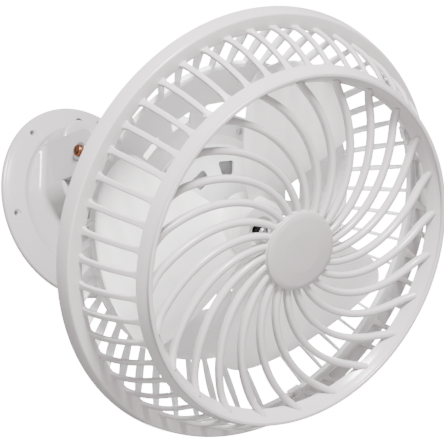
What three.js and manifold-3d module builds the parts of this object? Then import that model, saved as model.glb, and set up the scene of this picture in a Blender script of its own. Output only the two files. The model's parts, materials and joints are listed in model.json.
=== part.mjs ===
// Cabin fan on a tilting foot, in millimetres, +Z up.
// The origin is the centre of the foot's mounting face. The mounting face looks along +Y.
// The fan blows towards -Y and is stored tilted down.

import * as THREE from 'three';
import { mergeVertices } from 'three/addons/utils/BufferGeometryUtils.js';
import Module from 'manifold-3d';

const wasm = await Module();
wasm.setup();

// Driving dimensions: pose of the head on its foot
const restTiltDeg = 30;
const pivotOut = 64;
const pivotUp = 22;
const pivotToGuard = 194;

// Clearances and overruns shared by all pieces
const seatGap = 0.3;
const cutOver = 4;

// Foot canopy
const canopyR = 89;
const canopyEdge = 3;
const canopyLipRun = 2;
const canopyLipRise = 2;
const creaseR = 70.5;
const creaseHeight = 10.6;
const creaseWidth = 2.4;
const canopyFloor = 9;
const canopyWall = 3;
const flangeWidth = 16;
const footHoleCount = 6;
const footHoleStartDeg = 20;
const footHoleR = 2.3;
const footHoleInset = 9;
const webThick = 2.5;
const webDepth = 12;
const padR = 8;

// Turret and ears that carry the pivot
const turretHalfWidth = 50;
const turretHalfHeight = 41;
const turretCornerR = 20.5;
const turretDepth = 40;
const turretBevel = 3;
const turretWall = 3.5;
const earThick = 5.6;
const earR = 20.5;

// Cable slot and its rubber grommet
const slotAngleDeg = 98;
const slotR = 71.5;
const slotLength = 11;
const slotWidth = 5;
const slotPocketDepth = 3;
const grommetLip = 1.4;
const grommetLipThick = 1.2;
const grommetNeck = 3;
const grommetWall = 0.9;
const wireHoleR = 3.6;
const wireOffset = 22;

// Terminal block
const blockLength = 34;
const blockWidth = 14;
const blockHeight = 11;
const blockWays = 3;
const blockScrewR = 2.2;
const blockScrewDepth = 5;
const blockScrewInset = 0.5;
const blockScrewSlot = 0.8;
const blockBoreR = 2.6;
const blockFixR = 1.5;
const blockFixHeadR = 2.8;
const blockFixHead = 1.6;

// Pivot hardware
const boltR = 3;
const boltHeadR = 5.6;
const boltHead = 3.4;
const boltTail = 2.5;
const boltGrooveShare = 0.6;
const washerR = 8;
const washerThick = 1.2;
const nutR = 5.8;
const nutThick = 5;
const springWasherR = 5.4;
const springWasherThick = 1.5;
const springWasherSplit = 1.2;
const frictionR = 13;
const frictionThick = 2.2;

// Rear cover and its tail
const coverRoom = 7.8;
const coverWall = 3;
const coverFrontBelow = 64.3;
const coverDepth = 62;
const coverShoulder = 17;
const coverTaper = 16;
const coverFlangeWidth = 12;
const coverFlangeThick = 3.2;
const coverVentCount = 8;
const coverVentHeight = 9;
const coverVentWidth = 13;
const coverVentLip = 6;
const tailHalfWidth = 41.5;
const tailR = 19.5;
const tailWall = 4;
const sleeveR = 7.5;
const coverScrewOut = 5.5;
const coverScrewR = 1.6;
const coverScrewHeadR = 3.2;
const coverScrewHead = 2;
const coverScrewPhaseDeg = 86;
const screwRingCount = 4;

// Rear guard
const backRibCount = 48;
const backRibThick = 2.2;
const backRibDepth = 9;
const backRingWidth = 9;
const backRingDepth = 6;
const dishR = 130;
const dishBelow = 35;
const dishRimWidth = 5;
const dishRimDepth = 7;
const dishWall = 2.6;
const dishMidBelow = 50;
const dishHoleRoom = 3.8;
const dishVentCount = 16;
const dishVentStart = 6;
const dishVentLength = 12;
const dishVentEnd = 4;
const dishVentDeg = 13;

// Front guard: rim, side bars, crest ring and spiral ribs
const rimR = 184;
const rimDraft = 3.4;
const rimDepth = 13;
const rimWall = 2.8;
const rimFlange = 13.5;
const rimFlangeDrop = 1.4;
const crestR = 144.5;
const crestHeight = 75;
const crestWall = 3;
const crestOuterSpread = 6.5;
const crestInnerSpread = 9;
const crestDrop = 13.5;
const barCount = 48;
const barStartDeg = 4.9;
const barWidth = 5;
const barDepth = 3.8;
const barBow = 3.5;
const barSeat = 0.4;
const barTopShare = 0.33;
const ribCount = 24;
const ribWidth = 5.8;
const ribDepth = 7;
const ribFaceDrop = 7.5;
const ribCrown = 2.5;
const ribRound = 1.1;
const ribTurnDeg = 49;
const ribStartDeg = 10.5;
const hubPlateR = 33;
const hubPlateThick = 4;
const bossR = 4.6;
const guardScrewCount = 4;
const guardScrewStartDeg = 41.25;
const guardScrewR = 1.7;
const guardScrewHeadR = 3.4;
const guardScrewHead = 2.2;
const guardScrewLength = 9;
const lugWidth = 12;

// Hub cap
const capR = 32.5;
const capEdge = 1.6;
const capDome = 3.2;
const capDomeShares = [[0.94, 0.35], [0.7, 0.72], [0.36, 0.94]];
const capPegR = 3;
const capPegLength = 3;
const capPegRingR = 22;
const capPegCount = 3;

// Blades
const bladeCount = 3;
const bladeTipR = 141;
const bladeStartDeg = 47;
const bladeSpanDeg = 72;
const bladeRootSpanDeg = 88;
const bladeTipCornerDeg = 13;
const bladeCornerShare = 0.14;
const bladeTrailShare = 0.4;
const bladeThinShare = 0.35;
const bladeSpanShares = [0, 0.3, 0.62, 0.86, 0.94, 1];
const bladeRearBelow = 20;
const bladeFrontAbove = 20;
const bladeRootShare = 0.62;
const bladeThick = 2.2;
const bladeCamber = 6;
const bladeHubR = 26;
const bladeHubFront = 16;
const bladeHubBack = 14;
const bladeHubWall = 4;
const insertR = 6.4;
const insertFlangeR = 9;
const insertFlange = 2;
const nutPocketR = 12;
const nutPocketDepth = 4;
const bladeNutR = 5.9;
const bladeNutThick = 5.5;
const drivePinR = 1.4;
const drivePinHalf = 6.6;

// Motor
const shaftR = 4;
const shaftTip = 1.6;
const windingOuterR = 39.6;
const windingBuild = 13.6;
const windingHeight = 10.5;
const statorLip = 3.4;
const statorHalf = 11;
const statorBelow = 77;
const earLobeR = 5.2;
const boltSetOut = 6.4;
const shieldWall = 2;
const shieldDepth = 14.5;
const shieldNoseR = 10;
const shieldNose = 9;
const shieldLug = 2.4;
const bushR = 7;
const airGap = 0.6;
const rotorRingStep = 1.5;
const rotorRingHeight = 5;
const collarR = 6.6;
const collarThick = 2;
const motorBoltR = 1.9;
const motorBoltHeadR = 3.6;
const motorBoltHead = 2.6;

// Motor cover with its ring of vents
const domeRoom = 1.2;
const domeWall = 2.2;
const domeFlangeWidth = 8;
const domeFlange = 2;
const domeRise = 12;
const domeSkirt = 14;
const domeNoseR = 13;
const domeVentCount = 9;
const domeVentMargin = 8;
const domeVentLength = 12;
const domeVentDeg = 22;
const domeVentStartDeg = 28;
const domeVentShare = 0.9;
const domeBendShare = 0.45;
const domeCrownShare = 0.88;
const domeScrewCount = 3;
const domeScrewR = 1.3;
const domeScrewHeadR = 2.5;
const domeScrewHead = 1.5;
const domeScrewOut = 4.8;
const domeScrewPhaseDeg = 41;

// Capacitor, its clip and the inner leads
const capacitorLength = 34;
const capacitorWidth = 16;
const capacitorHeight = 20;
const capacitorUp = 15;
const clipWidth = 8;
const clipThick = 1.2;
const clipFoot = 8;
const clipScrewR = 1.3;
const clipScrewHeadR = 2.6;
const clipScrewHead = 1.4;
const leadR = 2.2;
const leadBend = 12;
const leadDown = 11;
const leadEndInset = 3;

// Number of flats used for round pieces
const fine = 48;
const broad = 36;
const round = 20;
const small = 12;
const tiny = 8;

// Angles
const turn = Math.PI * 2;
const quarter = Math.PI / 2;
const deg = THREE.MathUtils.degToRad;

// Materials
function paint(color, roughness, metalness) {
  return new THREE.MeshStandardMaterial({ color, roughness, metalness });
}
const whitePlastic = paint(0xeceaeb, 0.3, 0);
const bladePlastic = paint(0xe6e4e2, 0.32, 0);
const greyPlastic = paint(0x9a9a9c, 0.5, 0);
const blackRubber = paint(0x1c1c1e, 0.8, 0);
const blackSteel = paint(0x3a3a3e, 0.4, 0.9);
const zincSteel = paint(0xb9bcc0, 0.35, 1);
const copperSteel = paint(0x9a5f3c, 0.35, 1);
const brass = paint(0xb8975a, 0.35, 1);
const aluminium = paint(0xa9abad, 0.45, 1);
const coreSteel = paint(0x6a6c70, 0.5, 1);
const copper = paint(0xb4683a, 0.4, 1);
const leadGrey = paint(0x55565a, 0.6, 0);

// Solids: every shape below is a closed body that can be joined and cut
function toSolid(source) {
  const bare = source.index ? source.toNonIndexed() : source.clone();
  bare.deleteAttribute('normal');
  bare.deleteAttribute('uv');
  const merged = mergeVertices(bare, 1e-4);
  const index = Array.from(merged.index.array);
  const place = merged.attributes.position.array;
  const triangles = [];
  let volume = 0;
  for (let i = 0; i < index.length; i += 3) {
    const [a, b, c] = index.slice(i, i + 3);
    if (a === b || b === c || c === a) continue;
    triangles.push(a, b, c);
    const p = new THREE.Vector3().fromArray(place, a * 3);
    const q = new THREE.Vector3().fromArray(place, b * 3);
    const r = new THREE.Vector3().fromArray(place, c * 3);
    volume += p.dot(q.cross(r));
  }
  if (volume < 0) {
    for (let i = 0; i < triangles.length; i += 3) {
      [triangles[i], triangles[i + 1]] = [triangles[i + 1], triangles[i]];
    }
  }
  const mesh = new wasm.Mesh({
    numProp: 3,
    vertProperties: new Float32Array(place),
    triVerts: new Uint32Array(triangles),
  });
  return new wasm.Manifold(mesh);
}

function toGeometry(solid) {
  const mesh = solid.getMesh();
  const geometry = new THREE.BufferGeometry();
  geometry.setAttribute('position', new THREE.BufferAttribute(mesh.vertProperties, 3));
  geometry.setIndex(new THREE.BufferAttribute(mesh.triVerts, 1));
  geometry.computeVertexNormals();
  return geometry;
}

function join(solids) {
  return solids.reduce((whole, next) => whole.add(next));
}

function cut(solid, tools) {
  return tools.reduce((rest, tool) => rest.subtract(tool), solid);
}

// A turned body about Z from [radius, z] points. A ring's outline closes on itself.
function turned(points, flats) {
  const outline = points.map(([r, z]) => new THREE.Vector2(r, z));
  const geometry = new THREE.LatheGeometry(outline, flats);
  geometry.rotateX(quarter);
  return toSolid(geometry);
}

function turnedRing(points, flats) {
  return turned([...points, points[0]], flats);
}

function disc(radius, low, high, flats) {
  return turned([[0, low], [radius, low], [radius, high], [0, high]], flats);
}

function tube(inner, outer, low, high, flats) {
  return turnedRing([[inner, low], [outer, low], [outer, high], [inner, high]], flats);
}

function block(lowX, highX, lowY, highY, lowZ, highZ) {
  const geometry = new THREE.BoxGeometry(highX - lowX, highY - lowY, highZ - lowZ);
  geometry.translate((lowX + highX) / 2, (lowY + highY) / 2, (lowZ + highZ) / 2);
  return toSolid(geometry);
}

// An outline in X and Y, given depth along Z
function slab(outline, low, high) {
  const shape = outline instanceof THREE.Shape ? outline : new THREE.Shape(
    outline.map(([x, y]) => new THREE.Vector2(x, y)),
  );
  const geometry = new THREE.ExtrudeGeometry(shape, {
    depth: high - low,
    bevelEnabled: false,
    curveSegments: 4,
  });
  geometry.translate(0, 0, low);
  return toSolid(geometry);
}

// An outline in radius and Z, given thickness across the plane and turned to an angle
function fin(outline, thick, angle) {
  const shape = new THREE.Shape(outline.map(([r, z]) => new THREE.Vector2(r, z)));
  const geometry = new THREE.ExtrudeGeometry(shape, { depth: thick, bevelEnabled: false });
  geometry.translate(0, 0, -thick / 2);
  geometry.rotateX(quarter);
  geometry.rotateZ(angle);
  return toSolid(geometry);
}

// A cylinder along X, used for the pivot
function crossDisc(radius, lowX, highX, y, z, flats) {
  const geometry = new THREE.CylinderGeometry(radius, radius, highX - lowX, flats);
  geometry.rotateZ(quarter);
  geometry.translate((lowX + highX) / 2, y, z);
  return toSolid(geometry);
}

// A skin through rings of points that all have the same number of points
function loft(rings) {
  const count = rings[0].length;
  const place = rings.flat().flatMap((p) => [p.x, p.y, p.z]);
  const index = [];
  for (let i = 0; i + 1 < rings.length; i += 1) {
    for (let j = 0; j < count; j += 1) {
      const a = i * count + j;
      const b = i * count + ((j + 1) % count);
      index.push(a, b, b + count, a, b + count, a + count);
    }
  }
  const last = (rings.length - 1) * count;
  for (let j = 0; j + 1 < count / 2; j += 1) {
    const [a, b, c, d] = [j, j + 1, count - 2 - j, count - 1 - j];
    if (b !== c) index.push(a, c, b, last + a, last + b, last + c);
    index.push(a, d, c, last + a, last + c, last + d);
  }
  const geometry = new THREE.BufferGeometry();
  geometry.setAttribute('position', new THREE.Float32BufferAttribute(place, 3));
  geometry.setIndex(index);
  return toSolid(geometry);
}

// A screw or bolt in one piece, from its tip to the top of its head
function screw(shankR, headR, tip, seat, top, flats = tiny) {
  const thread = [[0, tip], [shankR, tip], [shankR, seat]];
  return turned([...thread, [headR, seat], [headR, top], [0, top]], flats);
}

function aroundZ(count, startDeg, make) {
  return Array.from({ length: count }, (_, i) => make(deg(startDeg) + (turn * i) / count, i));
}

function spot(radius, angle) {
  return [radius * Math.cos(angle), radius * Math.sin(angle)];
}

function onRing(solid, ringR, angle) {
  return solid.translate([...spot(ringR, angle), 0]);
}

function peg(radius, ringR, angle, low, high, flats = tiny) {
  return onRing(disc(radius, low, high, flats), ringR, angle);
}

function node(name, solid, material) {
  const mesh = new THREE.Mesh(toGeometry(solid), material);
  mesh.name = name;
  return mesh;
}

// Copies of one piece: each is a node of its own, with a number or a word after its name
function copies(group, name, solids, material, words) {
  solids.forEach((solid, i) => {
    group.add(node(`${name}_${words ? words[i] : i + 1}`, solid, material));
  });
}

// Radii that follow the motor: core, bolt ring, rear cover, dish hole and motor cover
const windingInnerR = windingOuterR - windingBuild;
const statorR = windingOuterR + statorLip;
const statorBoreR = windingInnerR - statorLip;
const rotorR = statorBoreR - airGap;
const rotorRingR = rotorR - rotorRingStep;
const earRingR = windingOuterR + boltSetOut;
const coverR = earRingR + earLobeR + coverRoom + coverWall;
const coverBackR = coverR - coverTaper;
const coverFlangeR = coverR + coverFlangeWidth;
const coverScrewRingR = coverR + coverScrewOut;
const dishHoleR = earRingR + earLobeR + dishHoleRoom;
const dishVentInnerR = coverFlangeR + dishVentStart;
const dishVentOuterR = dishVentInnerR + dishVentLength;
const dishMidR = dishVentOuterR + dishVentEnd;
const domeR = earRingR + motorBoltHeadR + domeRoom + domeWall;
const domeFlangeR = domeR + domeFlangeWidth;
const domeScrewRingR = domeR + domeScrewOut;
const domeVentOuterR = domeR - domeVentMargin;
const domeVentInnerR = domeVentOuterR - domeVentLength;

// The foot is modelled with Z pointing into the room and Y up
const foot = new THREE.Group();
foot.rotation.x = quarter;

// The head turns about the pivot; its own Z is the fan's axis
const head = new THREE.Group();
head.position.set(0, pivotUp, pivotOut);
head.rotation.x = deg(restTiltDeg);
foot.add(head);

// The guard's frame starts at the rear edge of the rim
const guard = new THREE.Group();
guard.position.z = pivotToGuard;
head.add(guard);

// Foot canopy: dished flange, turret, two ears, stiffening webs and screw holes
const footHoleRingR = canopyR - footHoleInset;
const grommetSeat = creaseHeight - slotPocketDepth;
const earInner = turretHalfWidth - earThick;

function roundedOblong(halfWidth, halfHeight, cornerR, centreY) {
  const shape = new THREE.Shape();
  const [x, y] = [halfWidth - cornerR, halfHeight - cornerR];
  shape.absarc(x, centreY + y, cornerR, 0, quarter);
  shape.absarc(-x, centreY + y, cornerR, quarter, 2 * quarter);
  shape.absarc(-x, centreY - y, cornerR, 2 * quarter, 3 * quarter);
  shape.absarc(x, centreY - y, cornerR, 3 * quarter, 4 * quarter);
  shape.closePath();
  return shape;
}

function turretBody() {
  const outline = roundedOblong(
    turretHalfWidth - turretBevel,
    turretHalfHeight - turretBevel,
    turretCornerR - turretBevel,
    pivotUp,
  );
  const geometry = new THREE.ExtrudeGeometry(outline, {
    depth: turretDepth - turretBevel,
    bevelThickness: turretBevel,
    bevelSize: turretBevel,
    bevelSegments: 2,
    curveSegments: 4,
  });
  return cut(toSolid(geometry), [
    block(-canopyR, canopyR, -canopyR, canopyR, -canopyR, canopyFloor - canopyWall / 2),
  ]);
}

function turretHollow() {
  const outline = roundedOblong(
    turretHalfWidth - turretWall,
    turretHalfHeight - turretWall,
    turretCornerR - turretWall,
    pivotUp,
  );
  return slab(outline, -cutOver, turretDepth - turretWall);
}

function ear(side) {
  const [low, high] = side > 0 ? [earInner, turretHalfWidth] : [-turretHalfWidth, -earInner];
  return join([
    block(low, high, pivotUp - earR, pivotUp + earR, canopyFloor - canopyWall / 2, pivotOut),
    crossDisc(earR, low, high, pivotUp, pivotOut, round),
  ]);
}

function cableSlot(length, width, low, high) {
  const half = (length - width) / 2;
  const shape = new THREE.Shape();
  shape.absarc(half, 0, width / 2, -quarter, quarter);
  shape.absarc(-half, 0, width / 2, quarter, 3 * quarter);
  shape.closePath();
  const [x, y] = spot(slotR, deg(slotAngleDeg));
  return slab(shape, low, high).rotate([0, 0, slotAngleDeg]).translate([x, y, 0]);
}

function canopy() {
  const flangeInner = canopyR - flangeWidth;
  const dish = turned([
    [0, canopyFloor - canopyWall],
    [flangeInner - canopyWall, canopyFloor - canopyWall],
    [flangeInner, 0],
    [canopyR, 0],
    [canopyR, canopyEdge],
    [canopyR - canopyLipRun, canopyEdge + canopyLipRise],
    [creaseR, creaseHeight],
    [creaseR - creaseWidth, creaseHeight],
    [creaseR - 2 * creaseWidth, canopyFloor],
    [0, canopyFloor],
  ], broad);
  const shell = cut(join([dish, turretBody()]), [turretHollow()]);
  const reach = flangeInner + canopyWall;
  const webs = join([
    block(-reach, reach, -webThick / 2, webThick / 2, 0, canopyFloor - canopyWall / 2),
    block(-webThick / 2, webThick / 2, -reach, reach, 0, canopyFloor - canopyWall / 2),
    block(-earInner, earInner, -webThick / 2, webThick / 2, 0, webDepth),
    disc(padR, 0, webDepth, round),
  ]);
  const holes = aroundZ(footHoleCount, footHoleStartDeg, (angle) => (
    peg(footHoleR, footHoleRingR, angle, -cutOver, creaseHeight + cutOver)
  ));
  const bolt = crossDisc(
    boltR + seatGap, -turretHalfWidth - cutOver, turretHalfWidth + cutOver, pivotUp, pivotOut, small,
  );
  const wire = disc(wireHoleR, turretDepth - turretWall - cutOver, turretDepth + cutOver, small)
    .translate([wireOffset, pivotUp, 0]);
  const slot = cableSlot(slotLength, slotWidth, -cutOver, creaseHeight + cutOver);
  const lipSpace = 2 * (grommetLip + seatGap);
  const pocket = cableSlot(
    slotLength + lipSpace, slotWidth + lipSpace, grommetSeat, creaseHeight + cutOver,
  );
  return cut(join([shell, webs, ear(1), ear(-1)]), [...holes, bolt, wire, slot, pocket]);
}
foot.add(node('base_canopy', canopy(), whitePlastic));

function grommet() {
  const low = grommetSeat + seatGap;
  const [length, width] = [slotLength - 2 * seatGap, slotWidth - 2 * seatGap];
  const body = join([
    cableSlot(length, width, low - grommetNeck, low + grommetLipThick),
    cableSlot(slotLength + 2 * grommetLip, slotWidth + 2 * grommetLip, low, low + grommetLipThick),
  ]);
  const bore = cableSlot(
    length - 2 * grommetWall, width - 2 * grommetWall, low - grommetNeck - cutOver, low + cutOver,
  );
  return body.subtract(bore);
}
foot.add(node('cable_grommet', grommet(), blackRubber));

// Terminal block under the turret's front wall
const blockTop = turretDepth - turretWall - seatGap;
const blockFixX = blockLength / 2 - blockFixHeadR;
const wayStep = (blockLength - 4 * blockFixHeadR) / blockWays;
const ways = Array.from({ length: blockWays }, (_, i) => (i - (blockWays - 1) / 2) * wayStep);

function atBlock(solid, x) {
  return solid.translate([x, 0, 0]);
}

function terminalBlock() {
  const low = blockTop - blockHeight;
  const wells = ways.map((x) => atBlock(
    disc(blockScrewR + seatGap, low - cutOver, low + blockScrewDepth, tiny), x,
  ));
  const bores = ways.map((x) => {
    const across = disc(blockBoreR, -blockWidth, blockWidth, tiny).rotate([90, 0, 0]);
    return across.translate([x, 0, blockTop - blockBoreR - canopyWall / 2]);
  });
  const fixes = [-blockFixX, blockFixX].map((x) => atBlock(
    disc(blockFixR + seatGap, low - cutOver, blockTop + cutOver, tiny), x,
  ));
  const body = block(-blockLength / 2, blockLength / 2, -blockWidth / 2, blockWidth / 2, low, blockTop);
  return cut(body, [...wells, ...bores, ...fixes]);
}
foot.add(node('terminal_block', terminalBlock(), greyPlastic));

function terminalScrew(x) {
  const low = blockTop - blockHeight;
  const body = disc(blockScrewR, low + blockScrewInset, low + blockScrewDepth - seatGap, tiny);
  const groove = block(
    -blockScrewR, blockScrewR, -blockScrewSlot / 2, blockScrewSlot / 2,
    low - cutOver, low + blockScrewInset + blockScrewSlot,
  );
  return atBlock(body.subtract(groove), x);
}
copies(foot, 'terminal_screw', ways.map(terminalScrew), brass);

function blockFixScrew(x) {
  const low = blockTop - blockHeight - seatGap;
  return atBlock(screw(blockFixR, blockFixHeadR, blockTop, low, low - blockFixHead), x);
}
copies(foot, 'terminal_fixing_screw', [-blockFixX, blockFixX].map(blockFixScrew), zincSteel);

// Pivot hardware: the bolt, washers and nut stay with the foot
const earFace = turretHalfWidth + seatGap;
const headFace = earFace + washerThick + seatGap;
const nutFace = headFace + springWasherThick + seatGap;
const nutEnd = nutFace + nutThick;

function pivotBolt() {
  const crown = crossDisc(boltHeadR, -headFace - boltHead, -headFace, pivotUp, pivotOut, round);
  const shank = crossDisc(boltR, -headFace - boltHead / 2, nutEnd + boltTail, pivotUp, pivotOut, tiny);
  const groove = block(
    -headFace - boltHead - cutOver, -headFace - boltHead * boltGrooveShare,
    pivotUp - boltHeadR, pivotUp + boltHeadR, pivotOut - washerThick / 2, pivotOut + washerThick / 2,
  );
  return cut(join([crown, shank]), [groove]);
}
foot.add(node('pivot_bolt', pivotBolt(), copperSteel));

function crossRing(outer, low, high, flats) {
  return crossDisc(outer, low, high, pivotUp, pivotOut, flats).subtract(
    crossDisc(boltR + seatGap, low - cutOver, high + cutOver, pivotUp, pivotOut, tiny),
  );
}
copies(foot, 'pivot_washer', [
  crossRing(washerR, -earFace - washerThick, -earFace, small),
  crossRing(washerR, earFace, earFace + washerThick, small),
], zincSteel, ['left', 'right']);

function springWasher() {
  const ring = crossRing(springWasherR, headFace, headFace + springWasherThick, small);
  const split = block(
    headFace - cutOver, headFace + springWasherThick + cutOver,
    pivotUp - springWasherSplit / 2, pivotUp + springWasherSplit / 2, pivotOut, pivotOut + washerR,
  );
  return ring.subtract(split);
}
foot.add(node('pivot_spring_washer', springWasher(), zincSteel));
foot.add(node('pivot_nut', crossRing(nutR, nutFace, nutEnd, 6), zincSteel));

// Friction washers fill the space between each ear and the tail
const frictionIn = tailHalfWidth + seatGap;
copies(foot, 'friction_washer', [
  crossRing(frictionR, -frictionIn - frictionThick, -frictionIn, small),
  crossRing(frictionR, frictionIn, frictionIn + frictionThick, small),
], blackRubber, ['left', 'right']);

// Rear cover: motor cup, vent slots, bolt posts and the hollow tail that holds the pivot
const coverFront = -coverFrontBelow;
const coverBack = coverFront - coverDepth - coverShoulder;
const pivotZ = -pivotToGuard;
const shieldBack = -statorBelow - statorHalf - seatGap;
const shieldInner = windingOuterR + seatGap;
const postR = earRingR - shieldInner - shieldWall - seatGap;
const postTop = shieldBack - shieldLug - seatGap;
const motorBoltReach = statorHalf;
const clipScrewPlaces = [1, -1].map((side) => (
  capacitorUp + side * (capacitorWidth / 2 + clipThick + clipFoot / 2)
));

// Seat for the capacitor: a plate across the mouth of the hollow tail
function clipSeat() {
  const half = capacitorWidth / 2 + clipThick + clipFoot;
  return block(
    -capacitorLength / 2, capacitorLength / 2, capacitorUp - half, capacitorUp + half,
    coverBack, coverBack + coverWall,
  );
}

function tailBody() {
  return join([
    block(-tailHalfWidth, tailHalfWidth, -tailR, tailR, pivotZ, coverBack + coverWall),
    crossDisc(tailR, -tailHalfWidth, tailHalfWidth, 0, pivotZ, round),
  ]);
}

function tailHollow() {
  const [x, y] = [tailHalfWidth - tailWall, tailR - tailWall];
  return join([
    block(-x, x, -y, y, pivotZ, coverBack + coverWall + cutOver),
    crossDisc(y, -x, x, 0, pivotZ, round),
  ]);
}

function coverVents() {
  const low = coverBack + coverShoulder + coverVentLip;
  return aroundZ(coverVentCount, 0, (angle) => {
    const slot = block(
      coverR - 2 * coverWall, coverR + cutOver,
      -coverVentWidth / 2, coverVentWidth / 2, low - coverVentHeight, low,
    );
    return slot.rotate([0, 0, THREE.MathUtils.radToDeg(angle)]);
  });
}

function rearCover() {
  const shoulder = coverFront - coverDepth;
  const outer = [
    [0, coverBack],
    [coverBackR, coverBack],
    [coverR - coverWall / 2, shoulder - coverShoulder / 2],
    [coverR, shoulder],
    [coverR, coverFront - coverFlangeThick],
    [coverFlangeR, coverFront - coverFlangeThick],
    [coverFlangeR, coverFront],
  ];
  const cup = turned([
    ...outer,
    [coverR - coverWall, coverFront],
    [coverR - coverWall, shoulder],
    [coverBackR - coverWall, coverBack + coverWall],
    [0, coverBack + coverWall],
  ], broad);
  const envelope = turned([...outer, [0, coverFront]], broad);
  const posts = aroundZ(screwRingCount, 0, (angle) => (
    peg(postR, earRingR, angle, coverBack + coverWall / 2, postTop).intersect(envelope)
  ));
  const postHoles = aroundZ(screwRingCount, 0, (angle) => (
    peg(motorBoltR + seatGap, earRingR, angle, postTop - motorBoltReach - seatGap, postTop + cutOver)
  ));
  const screwHoles = aroundZ(screwRingCount, coverScrewPhaseDeg, (angle) => peg(
    coverScrewR + seatGap, coverScrewRingR, angle, coverFront - coverFlangeThick - cutOver,
    coverFront + cutOver,
  ));
  const clipHoles = clipScrewPlaces.map((y) => (
    disc(clipScrewR + seatGap, coverBack - cutOver, coverBack + coverWall + cutOver, small)
      .translate([0, y, 0])
  ));
  const sleeve = crossDisc(sleeveR, -tailHalfWidth, tailHalfWidth, 0, pivotZ, small);
  const bore = crossDisc(
    boltR + seatGap, -tailHalfWidth - cutOver, tailHalfWidth + cutOver, 0, pivotZ, small,
  );
  const body = cut(join([cup, ...posts, tailBody()]), [tailHollow()]);
  const leadExit = disc(leadR + seatGap, pivotZ - tailR - cutOver, pivotZ, small)
    .translate([wireOffset, -leadDown, 0]);
  return cut(join([body, sleeve, clipSeat()]), [
    bore, leadExit, ...coverVents(), ...postHoles, ...screwHoles, ...clipHoles,
  ]);
}

guard.add(node('rear_cover', rearCover(), whitePlastic));

// Capacitor held by a strap clip and two screws
const capacitorBase = coverBack + coverWall + seatGap;
guard.add(node('capacitor', block(
  -capacitorLength / 2, capacitorLength / 2,
  capacitorUp - capacitorWidth / 2, capacitorUp + capacitorWidth / 2,
  capacitorBase, capacitorBase + capacitorHeight,
), greyPlastic));

function capacitorClip() {
  const inner = capacitorWidth / 2 + seatGap;
  const outer = inner + clipThick;
  const top = capacitorBase + capacitorHeight + seatGap;
  const strap = [
    [-outer - clipFoot, capacitorBase], [-inner, capacitorBase], [-inner, top], [inner, top],
    [inner, capacitorBase], [outer + clipFoot, capacitorBase],
    [outer + clipFoot, capacitorBase + clipThick], [outer, capacitorBase + clipThick],
    [outer, top + clipThick], [-outer, top + clipThick],
    [-outer, capacitorBase + clipThick], [-outer - clipFoot, capacitorBase + clipThick],
  ];
  const band = fin(strap, clipWidth, quarter).translate([0, capacitorUp, 0]);
  const holes = clipScrewPlaces.map((y) => (
    disc(clipScrewR + seatGap, capacitorBase - cutOver, capacitorBase + cutOver, small).translate([0, y, 0])
  ));
  return cut(band, holes);
}
guard.add(node('capacitor_clip', capacitorClip(), zincSteel));

function clipScrew(y) {
  const seat = capacitorBase + clipThick + seatGap;
  return screw(clipScrewR, clipScrewHeadR, coverBack + seatGap, seat, seat + clipScrewHead)
    .translate([0, y, 0]);
}
copies(guard, 'clip_screw', clipScrewPlaces.map(clipScrew), zincSteel);

// Rear guard: outer ring, deep thin ribs and the smooth dish that seats on the rear cover
const rimInner = rimR - rimWall;
const backRingR = rimInner - rimDraft / 2 - seatGap;
const dishSeat = coverFront + seatGap;

function dishShell() {
  return turnedRing([
    [dishHoleR, dishSeat],
    [coverFlangeR, dishSeat],
    [dishMidR, -dishMidBelow - dishWall],
    [dishR - dishRimWidth, -dishBelow - dishRimDepth],
    [dishR, -dishBelow - dishRimDepth],
    [dishR, -dishBelow],
    [dishR - dishRimWidth, -dishBelow - dishWall / 2],
    [dishMidR, -dishMidBelow],
    [coverFlangeR, dishSeat + dishWall],
    [dishHoleR, dishSeat + dishWall],
  ], broad);
}

function dishVents() {
  return aroundZ(dishVentCount, 0, (angle) => {
    const half = deg(dishVentDeg) / 2;
    const outline = [
      spot(dishVentInnerR, angle - half), spot(dishVentOuterR, angle - half),
      spot(dishVentOuterR, angle + half), spot(dishVentInnerR, angle + half),
    ];
    return slab(outline, dishSeat - cutOver, -dishMidBelow + cutOver);
  });
}

function backRib(angle) {
  const outerR = backRingR - backRingWidth / 2;
  const innerR = dishR - dishRimWidth / 2;
  const bow = backRibDepth / 4;
  const midR = (outerR + innerR) / 2;
  const midZ = -dishBelow / 2 - bow;
  const low = -dishBelow - dishRimDepth + seatGap;
  return fin([
    [outerR, -backRingDepth + seatGap],
    [outerR, -seatGap],
    [innerR, -dishBelow - seatGap],
    [innerR, low],
    [midR, midZ - backRibDepth],
  ], backRibThick, angle);
}

const guardScrewRingR = rimInner - rimDraft - bossR;

function screwLug(angle) {
  const lug = block(
    guardScrewRingR - bossR, backRingR - seatGap, -lugWidth / 2, lugWidth / 2, -backRingDepth, 0,
  );
  return lug.rotate([0, 0, THREE.MathUtils.radToDeg(angle)]);
}

function rearGuard() {
  const ring = tube(backRingR - backRingWidth, backRingR, -backRingDepth, 0, fine);
  const ribs = aroundZ(backRibCount, 0, backRib);
  const lugs = aroundZ(guardScrewCount, guardScrewStartDeg, screwLug);
  const lugHoles = aroundZ(guardScrewCount, guardScrewStartDeg, (angle) => (
    peg(guardScrewR + seatGap, guardScrewRingR, angle, -backRingDepth - cutOver, cutOver)
  ));
  const seatHoles = aroundZ(screwRingCount, coverScrewPhaseDeg, (angle) => (
    peg(coverScrewR + seatGap, coverScrewRingR, angle, dishSeat - cutOver, dishSeat + dishWall + cutOver)
  ));
  const domeHoles = aroundZ(domeScrewCount, domeScrewPhaseDeg, (angle) => (
    peg(domeScrewR + seatGap, domeScrewRingR, angle, dishSeat - cutOver, dishSeat + dishWall + cutOver)
  ));
  const dish = cut(dishShell(), dishVents());
  return cut(join([ring, dish, ...ribs, ...lugs]), [...lugHoles, ...seatHoles, ...domeHoles]);
}
guard.add(node('rear_guard', rearGuard(), whitePlastic));

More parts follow.
